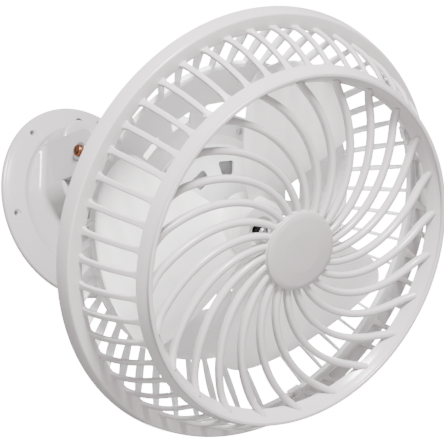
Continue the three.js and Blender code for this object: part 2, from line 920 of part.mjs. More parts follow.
function coverScrew(angle) {
  const face = dishSeat + dishWall + seatGap;
  const tip = coverFront - coverFlangeThick - coverWall;
  const body = screw(coverScrewR, coverScrewHeadR, tip, face, face + coverScrewHead);
  return onRing(body, coverScrewRingR, angle);
}
copies(guard, 'cover_screw', aroundZ(screwRingCount, coverScrewPhaseDeg, coverScrew), zincSteel);

// Front guard: one moulding of rim, side bars, crest ring, spiral ribs and hub plate
const rimFrontR = rimR - rimDraft;
const flangeInnerR = rimFrontR - rimFlange;
const ribTop = crestHeight - ribFaceDrop;
const crestFootR = crestR + crestOuterSpread;
const crestFootZ = crestHeight - crestDrop;
const crestInnerR = crestR - crestInnerSpread;

function rimRing() {
  return turnedRing([
    [rimR - rimWall, 0],
    [rimR, 0],
    [rimFrontR, rimDepth],
    [flangeInnerR, rimDepth - rimFlangeDrop],
    [flangeInnerR, rimDepth - rimFlangeDrop - rimWall],
    [rimFrontR - rimWall, rimDepth - rimWall],
  ], fine);
}

function crestRing() {
  return turnedRing([
    [crestFootR - crestWall, crestFootZ],
    [crestFootR, crestFootZ],
    [crestR, crestHeight],
    [crestInnerR, crestFootZ],
    [crestInnerR + crestWall, crestFootZ],
    [crestR, crestHeight - crestWall],
  ], fine);
}

// A side bar stands on the front of the flange and ends in the crest ring's outer foot
function sideBar(angle) {
  const lowR = flangeInnerR + barSeat;
  const highR = crestFootR - crestWall + barSeat;
  const lowZ = rimDepth - rimFlangeDrop - rimWall / 2;
  const highZ = crestFootZ + crestWall * barTopShare;
  const topDepth = crestWall - 2 * barSeat;
  const midR = (lowR + highR) / 2 + barBow;
  const midZ = (lowZ + highZ) / 2;
  return fin([
    [lowR, lowZ],
    [lowR + barDepth, lowZ],
    [midR + barDepth, midZ],
    [highR + topDepth, highZ],
    [highR, highZ],
    [midR, midZ],
  ], barWidth, angle);
}

// A spiral rib runs from the hub plate to the crest ring's inner foot at a steady turn
function spiralRib(angle) {
  const innerR = hubPlateR - ribWidth;
  const outerR = crestInnerR + crestWall - seatGap;
  const steps = 7;
  const rings = Array.from({ length: steps + 1 }, (_, i) => {
    const along = i / steps;
    const r = innerR + (outerR - innerR) * along;
    const bearing = angle - deg(ribTurnDeg) * (1 - along);
    const top = ribTop - seatGap - ribCrown * (1 - Math.cos(quarter * along));
    const lean = Math.atan((deg(ribTurnDeg) / (outerR - innerR)) * r);
    const halfTurn = ribWidth / 2 / (r * Math.cos(lean));
    const section = [
      [-halfTurn, top - ribDepth], [-halfTurn, top - ribRound], [0, top],
      [halfTurn, top - ribRound], [halfTurn, top - ribDepth],
    ];
    return section.map(([swing, z]) => new THREE.Vector3(...spot(r, bearing + swing), z));
  });
  return loft(rings);
}

const hubPlateTop = ribTop;
const capPegRing = aroundZ(capPegCount, 0, (angle) => angle);

function frontGuard() {
  const hub = disc(hubPlateR, hubPlateTop - hubPlateThick, hubPlateTop, round);
  const bars = aroundZ(barCount, barStartDeg, sideBar);
  const ribs = aroundZ(ribCount, ribStartDeg, spiralRib);
  const bosses = aroundZ(guardScrewCount, guardScrewStartDeg, (angle) => (
    peg(bossR, guardScrewRingR, angle, seatGap, rimDepth - rimWall / 2)
  ));
  const bossHoles = aroundZ(guardScrewCount, guardScrewStartDeg, (angle) => peg(
    guardScrewR + seatGap, guardScrewRingR, angle, -cutOver, guardScrewLength - backRingDepth + seatGap,
  ));
  const pegHoles = capPegRing.map((angle) => peg(
    capPegR + seatGap, capPegRingR, angle, hubPlateTop - hubPlateThick - cutOver, hubPlateTop + cutOver,
  ));
  const whole = join([rimRing(), crestRing(), hub, ...bars, ...ribs, ...bosses]);
  return cut(whole, [...bossHoles, ...pegHoles]);
}
guard.add(node('front_guard', frontGuard(), whitePlastic));

function guardScrew(angle) {
  const face = -backRingDepth - seatGap;
  const body = screw(
    guardScrewR, guardScrewHeadR, face + guardScrewLength, face, face - guardScrewHead,
  );
  return onRing(body, guardScrewRingR, angle);
}
copies(guard, 'guard_screw', aroundZ(guardScrewCount, guardScrewStartDeg, guardScrew), zincSteel);

function hubCap() {
  const low = hubPlateTop + seatGap;
  const shell = turned([
    [0, low],
    [capR, low],
    [capR, low + capEdge],
    ...capDomeShares.map(([out, up]) => [capR * out, low + capEdge + capDome * up]),
    [0, low + capEdge + capDome],
  ], round);
  const pegs = capPegRing.map((angle) => (
    peg(capPegR, capPegRingR, angle, low - capPegLength, low + capEdge)
  ));
  return join([shell, ...pegs]);
}
guard.add(node('hub_cap', hubCap(), whitePlastic));

// Motor cover: vented dome in front of the motor, screwed to the dish
const domeSeat = dishSeat + dishWall + seatGap;

function motorCover() {
  const skirtTop = domeSeat + domeSkirt;
  const top = skirtTop + domeRise;
  const bend = skirtTop + domeRise * domeBendShare;
  const crown = skirtTop + domeRise * domeCrownShare;
  const skin = turnedRing([
    [domeR - domeWall, domeSeat],
    [domeFlangeR, domeSeat],
    [domeFlangeR, domeSeat + domeFlange],
    [domeR, domeSeat + domeFlange],
    [domeR - domeWall, skirtTop],
    [domeVentOuterR, bend],
    [domeVentInnerR, crown],
    [domeNoseR, top],
    [domeNoseR, top - domeWall],
    [domeVentInnerR, crown - domeWall],
    [domeVentOuterR - domeWall, bend - domeWall],
    [domeR - 2 * domeWall, skirtTop - domeWall],
  ], broad);
  const vents = aroundZ(domeVentCount, domeVentStartDeg, (angle) => {
    const half = deg(domeVentDeg) / 2;
    const outline = [
      spot(domeVentInnerR, angle - half * domeVentShare), spot(domeVentOuterR, angle - half),
      spot(domeVentOuterR, angle + half), spot(domeVentInnerR, angle + half * domeVentShare),
    ];
    return slab(outline, domeSeat + domeSkirt, top + cutOver);
  });
  const holes = aroundZ(domeScrewCount, domeScrewPhaseDeg, (angle) => (
    peg(domeScrewR + seatGap, domeScrewRingR, angle, domeSeat - cutOver, domeSeat + domeFlange + cutOver)
  ));
  return cut(skin, [...vents, ...holes]);
}
guard.add(node('motor_cover', motorCover(), whitePlastic));

function domeScrew(angle) {
  const face = domeSeat + domeFlange + seatGap;
  const body = screw(domeScrewR, domeScrewHeadR, dishSeat + seatGap, face, face + domeScrewHead);
  return onRing(body, domeScrewRingR, angle);
}
copies(guard, 'motor_cover_screw', aroundZ(domeScrewCount, domeScrewPhaseDeg, domeScrew), zincSteel);

// Stator: laminated core with bolt ears, its slots filled by the coils, and both end turns
const coreLow = -statorBelow - statorHalf;
const coreHigh = -statorBelow + statorHalf;

function boltRing(radius, low, high) {
  return aroundZ(screwRingCount, 0, (angle) => peg(radius, earRingR, angle, low, high));
}

function statorCore() {
  const plate = tube(statorBoreR, statorR, coreLow, coreHigh, round);
  const ears = boltRing(earLobeR, coreLow, coreHigh);
  const holes = boltRing(motorBoltR + seatGap, coreLow - cutOver, coreHigh + cutOver);
  return cut(join([plate, ...ears]), holes);
}
guard.add(node('stator_core', statorCore(), coreSteel));

function endTurns(low, high) {
  const rim = (windingOuterR - windingInnerR) / 4;
  return turnedRing([
    [windingInnerR, low + rim / 2],
    [windingInnerR + rim / 2, low],
    [windingOuterR - rim / 2, low],
    [windingOuterR, low + rim / 2],
    [windingOuterR, high - rim / 2],
    [windingOuterR - rim / 2, high],
    [windingInnerR + rim / 2, high],
    [windingInnerR, high - rim / 2],
  ], round);
}
guard.add(node('winding_front', endTurns(coreHigh + seatGap, coreHigh + seatGap + windingHeight), copper));
guard.add(node('winding_rear', endTurns(coreLow - seatGap - windingHeight, coreLow - seatGap), copper));

// End shields: a cup over the end turns with a nose that holds the bush
function endShield() {
  const outer = shieldInner + shieldWall;
  const cup = turnedRing([
    [shieldInner, 0],
    [outer, 0],
    [outer, shieldDepth],
    [shieldNoseR, shieldDepth],
    [shieldNoseR, shieldDepth + shieldNose - shieldWall],
    [bushR + seatGap, shieldDepth + shieldNose - shieldWall],
    [bushR + seatGap, shieldDepth - shieldWall],
    [shieldInner, shieldDepth - shieldWall],
  ], round);
  const lugs = aroundZ(screwRingCount, 0, (angle) => join([
    peg(earLobeR, earRingR, angle, 0, shieldLug),
    block(shieldInner + shieldWall / 2, earRingR, -earLobeR, earLobeR, 0, shieldLug)
      .rotate([0, 0, THREE.MathUtils.radToDeg(angle)]),
  ]));
  const holes = boltRing(motorBoltR + seatGap, -cutOver, shieldLug + cutOver);
  return cut(join([cup, ...lugs]), holes);
}
const shieldFront = coreHigh + seatGap;
guard.add(node('end_shield_front', endShield().translate([0, 0, shieldFront]), aluminium));
guard.add(node('end_shield_rear', endShield().mirror([0, 0, 1]).translate([0, 0, shieldBack]), aluminium));

const bushLow = shieldDepth - shieldWall + seatGap;
const bushHigh = shieldDepth + shieldNose - shieldWall - seatGap;
guard.add(node('bush_front', tube(
  shaftR + seatGap, bushR, shieldFront + bushLow, shieldFront + bushHigh, small,
), brass));
guard.add(node('bush_rear', tube(
  shaftR + seatGap, bushR, shieldBack - bushHigh, shieldBack - bushLow, small,
), brass));

function motorBolt(angle) {
  const face = shieldFront + shieldLug + seatGap;
  const body = screw(motorBoltR, motorBoltHeadR, postTop - motorBoltReach, face, face + motorBoltHead, 6);
  return onRing(body, earRingR, angle);
}
copies(guard, 'motor_bolt', aroundZ(screwRingCount, 0, motorBolt), zincSteel);

// Lead from the motor through the hollow tail to its exit behind the pivot
function motorLead() {
  const startZ = shieldBack - shieldDepth - seatGap;
  const startX = shieldInner - 2 * leadR;
  const bendZ = coverBack + coverWall + leadBend;
  const route = new THREE.CurvePath();
  const start = new THREE.Vector3(startX, -leadDown, startZ);
  const corner = new THREE.Vector3(startX, -leadDown, startZ - leadBend);
  const turnIn = new THREE.Vector3(wireOffset, -leadDown, bendZ - leadBend);
  const end = new THREE.Vector3(wireOffset, -leadDown, pivotZ - tailR + leadEndInset);
  route.add(new THREE.LineCurve3(start, corner));
  route.add(new THREE.CubicBezierCurve3(
    corner, corner.clone().setZ(corner.z - leadBend), turnIn.clone().setZ(turnIn.z + leadBend), turnIn,
  ));
  route.add(new THREE.LineCurve3(turnIn, end));
  const section = new THREE.Shape();
  section.absarc(0, 0, leadR, 0, turn);
  const geometry = new THREE.ExtrudeGeometry(section, {
    steps: 14, curveSegments: 2, extrudePath: route, bevelEnabled: false,
  });
  return toSolid(geometry);
}
guard.add(node('motor_lead', motorLead(), leadGrey));

// Rotor: shaft, cage and collars turn inside the stator and carry the blades
const noseBack = shieldBack - shieldDepth - shieldNose + shieldWall;
const nutSeat = bladeHubFront - nutPocketDepth + seatGap;
const shaftFront = nutSeat + bladeNutThick + shaftTip;
const drivePinZ = -bladeHubBack - seatGap - drivePinR;

function shaft() {
  const rod = turned([
    [0, noseBack + seatGap],
    [shaftR, noseBack + seatGap],
    [shaftR, shaftFront - shaftTip],
    [shaftR - shaftTip, shaftFront],
    [0, shaftFront],
  ], small);
  const cross = crossDisc(drivePinR + seatGap, -bushR, bushR, 0, drivePinZ, small);
  return rod.subtract(cross);
}
guard.add(node('rotor_shaft', shaft(), zincSteel));
guard.add(node('drive_pin', crossDisc(
  drivePinR, -drivePinHalf, drivePinHalf, 0, drivePinZ, small,
), zincSteel));

guard.add(node('rotor_core', tube(shaftR + seatGap, rotorR, coreLow, coreHigh, round), coreSteel));
const ringLow = coreHigh + seatGap;
const ringHigh = coreLow - seatGap;
copies(guard, 'rotor_end_ring', [
  tube(shaftR + shieldWall, rotorRingR, ringLow, ringLow + rotorRingHeight, round),
  tube(shaftR + shieldWall, rotorRingR, ringHigh - rotorRingHeight, ringHigh, round),
], aluminium, ['front', 'rear']);

const collarFront = shieldFront + bushLow - 2 * seatGap;
const collarBack = shieldBack - bushLow + 2 * seatGap;
copies(guard, 'shaft_collar', [
  tube(shaftR + seatGap, collarR, collarFront - collarThick, collarFront, small),
  tube(shaftR + seatGap, collarR, collarBack, collarBack + collarThick, small),
], blackSteel, ['front', 'rear']);

// Blade set: hub with three wide pitched blades in one moulding
function bladeSection(share) {
  const rootR = bladeHubR - bladeThick;
  const r = rootR + (bladeTipR - rootR) * share;
  const corner = Math.max(0, 1 - (1 - share) / bladeCornerShare) ** 2;
  const span = bladeRootSpanDeg + (bladeSpanDeg - bladeRootSpanDeg) * share;
  const from = deg(bladeStartDeg + bladeTipCornerDeg * corner);
  const to = deg(bladeStartDeg + span - bladeTipCornerDeg * corner * bladeTrailShare);
  const reach = bladeRootShare + (1 - bladeRootShare) * share;
  const chords = 5;
  const thick = bladeThick * (1 - bladeThinShare * share);
  const side = (offset) => Array.from({ length: chords + 1 }, (_, i) => {
    const along = i / chords;
    const angle = from + (to - from) * along;
    const low = -bladeRearBelow * reach;
    const rise = (bladeRearBelow + bladeFrontAbove) * reach * along;
    const belly = -bladeCamber * Math.sin(Math.PI * along) * share;
    return new THREE.Vector3(...spot(r, angle), low + rise + belly + offset);
  });
  return [...side(-thick / 2), ...side(thick / 2).reverse()];
}

function blade(angle) {
  return loft(bladeSpanShares.map(bladeSection)).rotate([0, 0, THREE.MathUtils.radToDeg(angle)]);
}

function bladeSet() {
  const bowl = turned([
    [0, -bladeHubBack],
    [bladeHubR, -bladeHubBack],
    [bladeHubR, bladeHubFront - bladeHubWall],
    [bladeHubR - bladeHubWall, bladeHubFront],
    [0, bladeHubFront],
  ], round);
  const pocket = disc(nutPocketR, bladeHubFront - nutPocketDepth, bladeHubFront + cutOver, round);
  const hollow = tube(
    insertFlangeR + bladeHubWall, bladeHubR - bladeHubWall, -bladeHubBack - cutOver, -bladeHubWall / 2, round,
  );
  const insertSeat = join([
    disc(insertR + seatGap, -bladeHubBack - cutOver, bladeHubFront + cutOver, small),
    disc(insertFlangeR + seatGap, -bladeHubBack - cutOver, -bladeHubBack + insertFlange + seatGap, small),
  ]);
  const blades = aroundZ(bladeCount, 0, blade);
  return cut(join([bowl, ...blades]), [pocket, hollow, insertSeat]);
}
guard.add(node('blade_set', bladeSet(), bladePlastic));

function bladeInsert() {
  return join([
    tube(shaftR + seatGap, insertR, -bladeHubBack, bladeHubFront - nutPocketDepth, small),
    tube(shaftR + seatGap, insertFlangeR, -bladeHubBack, -bladeHubBack + insertFlange, small),
  ]);
}
guard.add(node('blade_insert', bladeInsert(), brass));
guard.add(node('blade_nut', disc(bladeNutR, nutSeat, nutSeat + bladeNutThick, 6).subtract(
  disc(shaftR + seatGap, nutSeat - cutOver, nutSeat + bladeNutThick + cutOver, small),
), blackSteel));

const fan = new THREE.Group();
fan.add(foot);

export default fan;
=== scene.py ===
import json
import math

import bmesh
import bpy
from mathutils import Matrix, Vector


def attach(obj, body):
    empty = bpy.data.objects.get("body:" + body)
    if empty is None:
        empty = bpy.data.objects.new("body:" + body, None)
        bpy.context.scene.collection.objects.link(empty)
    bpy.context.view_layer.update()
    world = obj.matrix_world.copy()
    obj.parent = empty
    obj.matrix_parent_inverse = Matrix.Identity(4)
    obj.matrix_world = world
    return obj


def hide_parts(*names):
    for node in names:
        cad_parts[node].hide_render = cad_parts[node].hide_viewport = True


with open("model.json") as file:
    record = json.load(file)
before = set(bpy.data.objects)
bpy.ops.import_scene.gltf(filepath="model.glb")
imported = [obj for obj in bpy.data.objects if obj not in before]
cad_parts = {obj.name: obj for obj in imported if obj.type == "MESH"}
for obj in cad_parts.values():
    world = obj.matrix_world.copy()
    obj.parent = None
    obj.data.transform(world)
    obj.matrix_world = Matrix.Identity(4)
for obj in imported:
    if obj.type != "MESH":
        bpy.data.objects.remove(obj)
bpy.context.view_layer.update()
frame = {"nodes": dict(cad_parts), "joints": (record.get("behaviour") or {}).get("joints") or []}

# Foot canopy
# One glossy white moulding: a dished round flange screwed to the wall or ceiling, and a hollow
# turret whose two ears hold the pivot. Stiffening webs run across its open back.
# Shapes are drawn in millimetres in the foot's own directions, then laid into the frame.
MILLIMETRE = 0.001
tilt = next(joint for joint in frame["joints"] if joint["name"] == "head_tilt")
pivot = Vector(tilt["pos_m"])
foot_space = Matrix.Rotation(math.pi / 2, 4, "X") @ Matrix.Scale(MILLIMETRE, 4)
pivot_up = pivot.z / MILLIMETRE
pivot_out = -pivot.y / MILLIMETRE
ALONG_X = Matrix(((0, 0, 1, 0), (0, 1, 0, 0), (1, 0, 0, 0), (0, 0, 0, 1)))


def arc_corner(before, corner, after, radius, steps=5):
    """Points of the round corner that replaces a sharp one in an outline."""
    corner = Vector(corner)
    into = (Vector(before) - corner).normalized()
    out = (Vector(after) - corner).normalized()
    half = into.angle(out) / 2
    reach = min(radius / math.tan(half), (Vector(before) - corner).length * 0.49,
                (Vector(after) - corner).length * 0.49)
    radius = reach * math.tan(half)
    centre = corner + (into + out).normalized() * radius / math.sin(half)
    start = corner + into * reach - centre
    end = corner + out * reach - centre
    sweep = start.angle_signed(end)
    turns = [Matrix.Rotation(-sweep * i / steps, 2) for i in range(steps + 1)]
    return [tuple(centre + turn @ start) for turn in turns]


def rounded(outline, closed=True):
    """An outline whose points may hold a third number, the radius of that corner."""
    points = []
    for i, point in enumerate(outline):
        inner = closed or 0 < i < len(outline) - 1
        if len(point) < 3 or not inner:
            points.append(tuple(point[:2]))
            continue
        before = outline[i - 1][:2]
        after = outline[(i + 1) % len(outline)][:2]
        points.extend(arc_corner(before, point[:2], after, point[2]))
    return points


def skin(name, rings, closed=False):
    """A closed mesh through rings of points; the ends are capped, or joined when closed."""
    shell = bmesh.new()
    made = [[shell.verts.new(point) for point in ring] for ring in rings]
    count = len(made[0])
    pairs = list(zip(made, made[1:]))
    if closed:
        pairs.append((made[-1], made[0]))
    for low, high in pairs:
        for i in range(count):
            j = (i + 1) % count
            shell.faces.new((low[i], low[j], high[j], high[i]))
    if not closed:
        shell.faces.new(list(reversed(made[0])))
        shell.faces.new(made[-1])
    bmesh.ops.remove_doubles(shell, verts=shell.verts, dist=1e-4)
    bmesh.ops.dissolve_degenerate(shell, dist=1e-4, edges=shell.edges)
    bmesh.ops.recalc_face_normals(shell, faces=shell.faces)
    mesh = bpy.data.meshes.new(name)
    shell.to_mesh(mesh)
    shell.free()
    piece = bpy.data.objects.new(name, mesh)
    bpy.context.collection.objects.link(piece)
    return piece


def turned(name, outline, steps=192):
    """A body turned about Z from a closed outline of radius and height."""
    profile = rounded(outline)
    bearings = [2 * math.pi * i / steps for i in range(steps)]
    rings = [[(r * math.cos(a), r * math.sin(a), z) for r, z in profile] for a in bearings]
    return skin(name, rings, closed=True)


def plate(name, outline, low, high, edge=0.0, edge_steps=3):
    """An outline in X and Y with a thickness along Z and, if asked, rounded edges."""
    points = rounded(outline)
    piece = skin(name, [[(x, y, low) for x, y in points], [(x, y, high) for x, y in points]])
    if edge:
        bevel = piece.modifiers.new("Edge", "BEVEL")
        bevel.width = edge
        bevel.segments = edge_steps
        bevel.limit_method = "ANGLE"
        bevel.angle_limit = math.radians(50)
        settle(piece)
    return piece


def settle(piece):
    """Turns what the modifiers make into the piece's own plain mesh."""
    graph = bpy.context.evaluated_depsgraph_get()
    mesh = bpy.data.meshes.new_from_object(piece.evaluated_get(graph))
    piece.modifiers.clear()
    piece.data = mesh
    return piece


def carve(piece, tools, operation="DIFFERENCE"):
    """Cuts other solids out of a piece, or joins them to it, and removes them."""
    for tool in tools:
        change = piece.modifiers.new("Carve", "BOOLEAN")
        change.operation = operation
        change.solver = "MANIFOLD"
        change.object = tool
    settle(piece)
    for tool in tools:
        bpy.data.objects.remove(tool)
    return piece


def moved(piece, *steps):
    """Moves a piece's own points by each step in turn."""
    for step in steps:
        piece.data.transform(step)
    piece.data.update()
    return piece


def pin(name, radius, low, high, steps=32):
    """A plain round pin along Z."""
    return turned(name, [(0, low), (radius, low), (radius, high), (0, high)], steps)


def across(piece, up=0.0, out=0.0):
    """Lays a body made along Z along X, at a height up and a distance out."""
    return moved(piece, Matrix.Rotation(math.pi / 2, 4, "Y"), Matrix.Translation((0, up, out)))


def finish_piece(piece, space, material, body, nodes, crease=32):
    """Lays a piece into the frame, dresses it and makes it ride on its body."""
    moved(piece, space)
    piece.data.materials.clear()
    piece.data.materials.append(material)
    piece.data.polygons.foreach_set("use_smooth", [True] * len(piece.data.polygons))
    piece.data.set_sharp_from_angle(angle=math.radians(crease))
    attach(piece, body)
    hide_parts(*nodes)


def shader(name, kind, colour, roughness, metallic=0.0):
    """A new material with its shader node ready and a place to hang patterns on."""
    material = bpy.data.materials.new(name)
    material.use_nodes = True
    tree = material.node_tree
    surface = tree.nodes["Principled BSDF"]
    surface.inputs["Metallic"].default_value = metallic
    surface.inputs["Roughness"].default_value = roughness
    surface.inputs["Base Color"].default_value = (*colour, 1)
    place = tree.nodes.new("ShaderNodeTexCoord").outputs["Object"]
    tree.nodes["Principled BSDF"].label = kind
    return material, tree, surface, place


def noise(tree, place, scale, detail=2.0):
    """A soft random pattern fixed to the piece."""
    pattern = tree.nodes.new("ShaderNodeTexNoise")
    pattern.inputs["Scale"].default_value = scale
    pattern.inputs["Detail"].default_value = detail
    tree.links.new(place, pattern.inputs["Vector"])
    return pattern.outputs["Fac"]


def blend_colours(tree, factor, low, high):
    """A colour that goes from low to high with the factor."""
    ramp = tree.nodes.new("ShaderNodeValToRGB")
    ramp.color_ramp.elements[0].position = 0.3
    ramp.color_ramp.elements[1].position = 0.7
    ramp.color_ramp.elements[0].color = (*low, 1)
    ramp.color_ramp.elements[1].color = (*high, 1)
    tree.links.new(factor, ramp.inputs["Fac"])
    return ramp.outputs["Color"]


def spread(tree, factor, low, high):
    """A value that goes from low to high with the factor."""
    scale = tree.nodes.new("ShaderNodeMapRange")
    scale.inputs["To Min"].default_value = low
    scale.inputs["To Max"].default_value = high
    tree.links.new(factor, scale.inputs["Value"])
    return scale.outputs["Result"]


def relief(tree, surface, height, strength, distance):
    """Fine bumps on a surface that follow a pattern."""
    bump = tree.nodes.new("ShaderNodeBump")
    bump.inputs["Strength"].default_value = strength
    bump.inputs["Distance"].default_value = distance
    tree.links.new(height, bump.inputs["Height"])
    tree.links.new(bump.outputs["Normal"], surface.inputs["Normal"])


def moulded_plastic(name, colour, shade, roughness, peel=0.12):
    """Glossy moulded plastic: faint flow marks in the colour and a fine orange peel."""
    material, tree, surface, place = shader(name, "plastic", colour, roughness)
    flow = noise(tree, place, 14, 3)
    tree.links.new(blend_colours(tree, flow, shade, colour), surface.inputs["Base Color"])
    handling = noise(tree, place, 60, 4)
    tree.links.new(spread(tree, handling, roughness - 0.05, roughness + 0.07),
                   surface.inputs["Roughness"])
    relief(tree, surface, noise(tree, place, 420, 2), peel, 0.0003)
    return material


# Painted shade: the foot is the same white plastic as the head, but its colour is darkened to a warm grey
# so it looks shaded under any lamp.
foot_plastic_painted_shade = moulded_plastic("glossy foot plastic with painted shade", (0.34, 0.32, 0.325), (0.31, 0.29, 0.295), 0.22)

FLANGE_RADIUS = 89.0
FLANGE_WIDTH = 16.0
FOOT_SCREW_RING = 80.0
FOOT_SCREW_COUNT = 6
FOOT_SCREW_START = 20
CREASE_RADIUS = 70.5
DISH_HEIGHT = 9.0
CREASE_HEIGHT = 10.6
TURRET_HALF = (50.0, 41.0)
TURRET_CORNER = 20.5
TURRET_DEPTH = 40.0
EAR_THICKNESS = 5.6
EAR_RADIUS = 20.5
COVE_RADIUS = 7.0
FLOOR_HEIGHT = 6.0
FOOT_WALL = 3.5
WEB_REACH = 71.0
SLOT_RADIUS = 71.5
SLOT_BEARING = math.radians(98)
BOLT_WAY = 3.3
LEAD_OFFSET = 22.0


def turret_outline(offset, steps):
    """Points round the turret, as far outside its wall as the offset says."""
    half_x, half_y = (half + offset for half in TURRET_HALF)
    corner = max(TURRET_CORNER + offset, 1.0)
    points = []
    for i in range(steps):
        bearing = 2 * math.pi * i / steps
        x, y = math.cos(bearing), math.sin(bearing)
        reach = min(half_x / max(abs(x), 1e-9), half_y / max(abs(y), 1e-9))
        inner_x, inner_y = half_x - corner, half_y - corner
        if abs(x) * reach > inner_x and abs(y) * reach > inner_y:
            dot = abs(x) * inner_x + abs(y) * inner_y
            reach = dot + math.sqrt(max(dot * dot - inner_x ** 2 - inner_y ** 2 + corner ** 2, 0))
        points.append(Vector((x * reach, y * reach + pivot_up)))
    return points


def canopy_body(steps=288):
    """The foot's closed skin, from the turret's front over the dish to the hollow back."""
    base = turret_outline(0, steps)
    bearings = [math.atan2(point.y, point.x) for point in base]

    def contour(offset, height):
        return [(p.x, p.y, height) for p in turret_outline(offset, steps)]

    def circle(radius, height, share=1.0, offset=0.0):
        ring = []
        for point, bearing in zip(turret_outline(offset, steps), bearings):
            round_point = Vector((math.cos(bearing), math.sin(bearing))) * radius
            if point.length > radius - 0.4:
                point = point.normalized() * (radius - 0.4)
            mixed = point.lerp(round_point, share)
            ring.append((mixed.x, mixed.y, height))
        return ring

    rings = [contour(-38, TURRET_DEPTH), contour(-20, TURRET_DEPTH), contour(-6, TURRET_DEPTH)]
    for i in range(7):
        turn = math.pi / 2 * i / 6
        rings.append(contour(3 * math.sin(turn) - 3.2, TURRET_DEPTH - 3 + 3 * math.cos(turn)))
    for i in range(9):
        turn = math.pi / 2 * i / 8
        offset = COVE_RADIUS * (1 - math.cos(turn))
        height = DISH_HEIGHT + COVE_RADIUS * (1 - math.sin(turn))
        rings.append(circle(CREASE_RADIUS - 5.5, height, 0.0, offset))
    rings.append(circle(CREASE_RADIUS - 5.0, DISH_HEIGHT, 0.7, COVE_RADIUS))
    rings.append(circle(CREASE_RADIUS - 4.2, DISH_HEIGHT + 0.1))
    rings.append(circle(CREASE_RADIUS - 2.2, CREASE_HEIGHT - 0.5))
    rings.append(circle(CREASE_RADIUS - 1.2, CREASE_HEIGHT))
    rings.append(circle(CREASE_RADIUS, CREASE_HEIGHT - 0.05))
    rings.append(circle(CREASE_RADIUS + 1.2, CREASE_HEIGHT - 0.5))
    rings.append(circle(FLANGE_RADIUS - 9, 7.6))
    rings.append(circle(FLANGE_RADIUS - 3.2, 5.3))
    for i in range(6):
        turn = math.pi / 2 * i / 5
        rings.append(circle(FLANGE_RADIUS - 2.6 + 2.6 * math.sin(turn), 2.3 + 2.6 * math.cos(turn)))
    rings.append(circle(FLANGE_RADIUS, 0.6))
    rings.append(circle(FLANGE_RADIUS - 0.6, 0))
    back_edge = FLANGE_RADIUS - FLANGE_WIDTH
    rings.append(circle(back_edge, 0))
    rings.append(circle(back_edge - 2, FLOOR_HEIGHT - 0.6))
    rings.append(circle(back_edge - 3, FLOOR_HEIGHT))
    rings.append(circle(back_edge - 6, FLOOR_HEIGHT, 0.4, 0))
    rings.append(contour(-FOOT_WALL, FLOOR_HEIGHT))
    rings.append(contour(-FOOT_WALL, TURRET_DEPTH - FOOT_WALL - 1.5))
    rings.append(contour(-FOOT_WALL - 1.5, TURRET_DEPTH - FOOT_WALL))
    rings.append(contour(-38, TURRET_DEPTH - FOOT_WALL))
    return skin("foot_canopy", rings)


def ear(side):
    """One pivot ear: a round-ended plate on the turret's side."""
    low, high = pivot_up - EAR_RADIUS, pivot_up + EAR_RADIUS
    top = [(pivot_out + EAR_RADIUS * math.cos(a), pivot_up + EAR_RADIUS * math.sin(a))
           for a in (math.pi * (i / 24 - 0.5) for i in range(25))]
    outline = [(DISH_HEIGHT, low), *top, (DISH_HEIGHT, high)]
    inner = TURRET_HALF[0] - EAR_THICKNESS
    piece = plate("ear", outline, inner, TURRET_HALF[0], 0.8)
    moved(piece, ALONG_X)
    if side < 0:
        moved(piece, Matrix.Diagonal((-1, 1, 1, 1)))
    shell = bmesh.new()
    shell.from_mesh(piece.data)
    bmesh.ops.recalc_face_normals(shell, faces=shell.faces)
    shell.to_mesh(piece.data)
    shell.free()
    return piece


def box(name, low, high, edge=0.0):
    """A block between two corners, with rounded edges if asked."""
    outline = [(low[0], low[1]), (high[0], low[1]), (high[0], high[1]), (low[0], high[1])]
    return plate(name, outline, low[2], high[2], edge, 2)


def slot_body(length, width, low, high, edge=0.0):
    """A round-ended body that lies along a radius of the foot at the cable entry."""
    half = (length - width) / 2
    ends = [(half, -math.pi / 2), (-half, math.pi / 2)]
    outline = [(x + width / 2 * math.cos(start + math.pi * i / 10),
                width / 2 * math.sin(start + math.pi * i / 10)) for x, start in ends for i in range(11)]
    piece = plate("slot", outline, low, high, edge)
    spot = (SLOT_RADIUS * math.cos(SLOT_BEARING), SLOT_RADIUS * math.sin(SLOT_BEARING), 0)
    return moved(piece, Matrix.Rotation(SLOT_BEARING, 4, "Z"), Matrix.Translation(spot))


foot_canopy = canopy_body()
webs = [
    box("web", (-WEB_REACH, -1.25, 0.02), (WEB_REACH, 1.25, 8)),
    box("web", (-1.25, -WEB_REACH, 0.02), (1.25, WEB_REACH, 8)),
    box("web", (-46, -1.2, 0.02), (46, 1.2, 12)),
    pin("pad", 8, 0, 12.1),
]
carve(foot_canopy, [ear(1), ear(-1), *webs], "UNION")
screw_holes = []
for i in range(FOOT_SCREW_COUNT):
    hole_bearing = math.radians(FOOT_SCREW_START + 360 / FOOT_SCREW_COUNT * i)
    hole = turned("hole", [(0, -4), (2.3, -4), (2.3, 6.4), (3.6, 7.6), (4.2, 20), (0, 20)], 32)
    spot = Vector((math.cos(hole_bearing), math.sin(hole_bearing), 0)) * FOOT_SCREW_RING
    screw_holes.append(moved(hole, Matrix.Translation(spot)))
carve(foot_canopy, [
    *screw_holes,
    across(pin("bore", BOLT_WAY, -60, 60), pivot_up, pivot_out),
    moved(pin("lead_hole", 3.6, 30, 44), Matrix.Translation((LEAD_OFFSET, pivot_up, 0))),
    slot_body(11, 5, -4, 15),
    slot_body(14.4, 8.4, 7.6, 16),
])
finish_piece(foot_canopy, foot_space, foot_plastic_painted_shade, "base", ["base_canopy"])


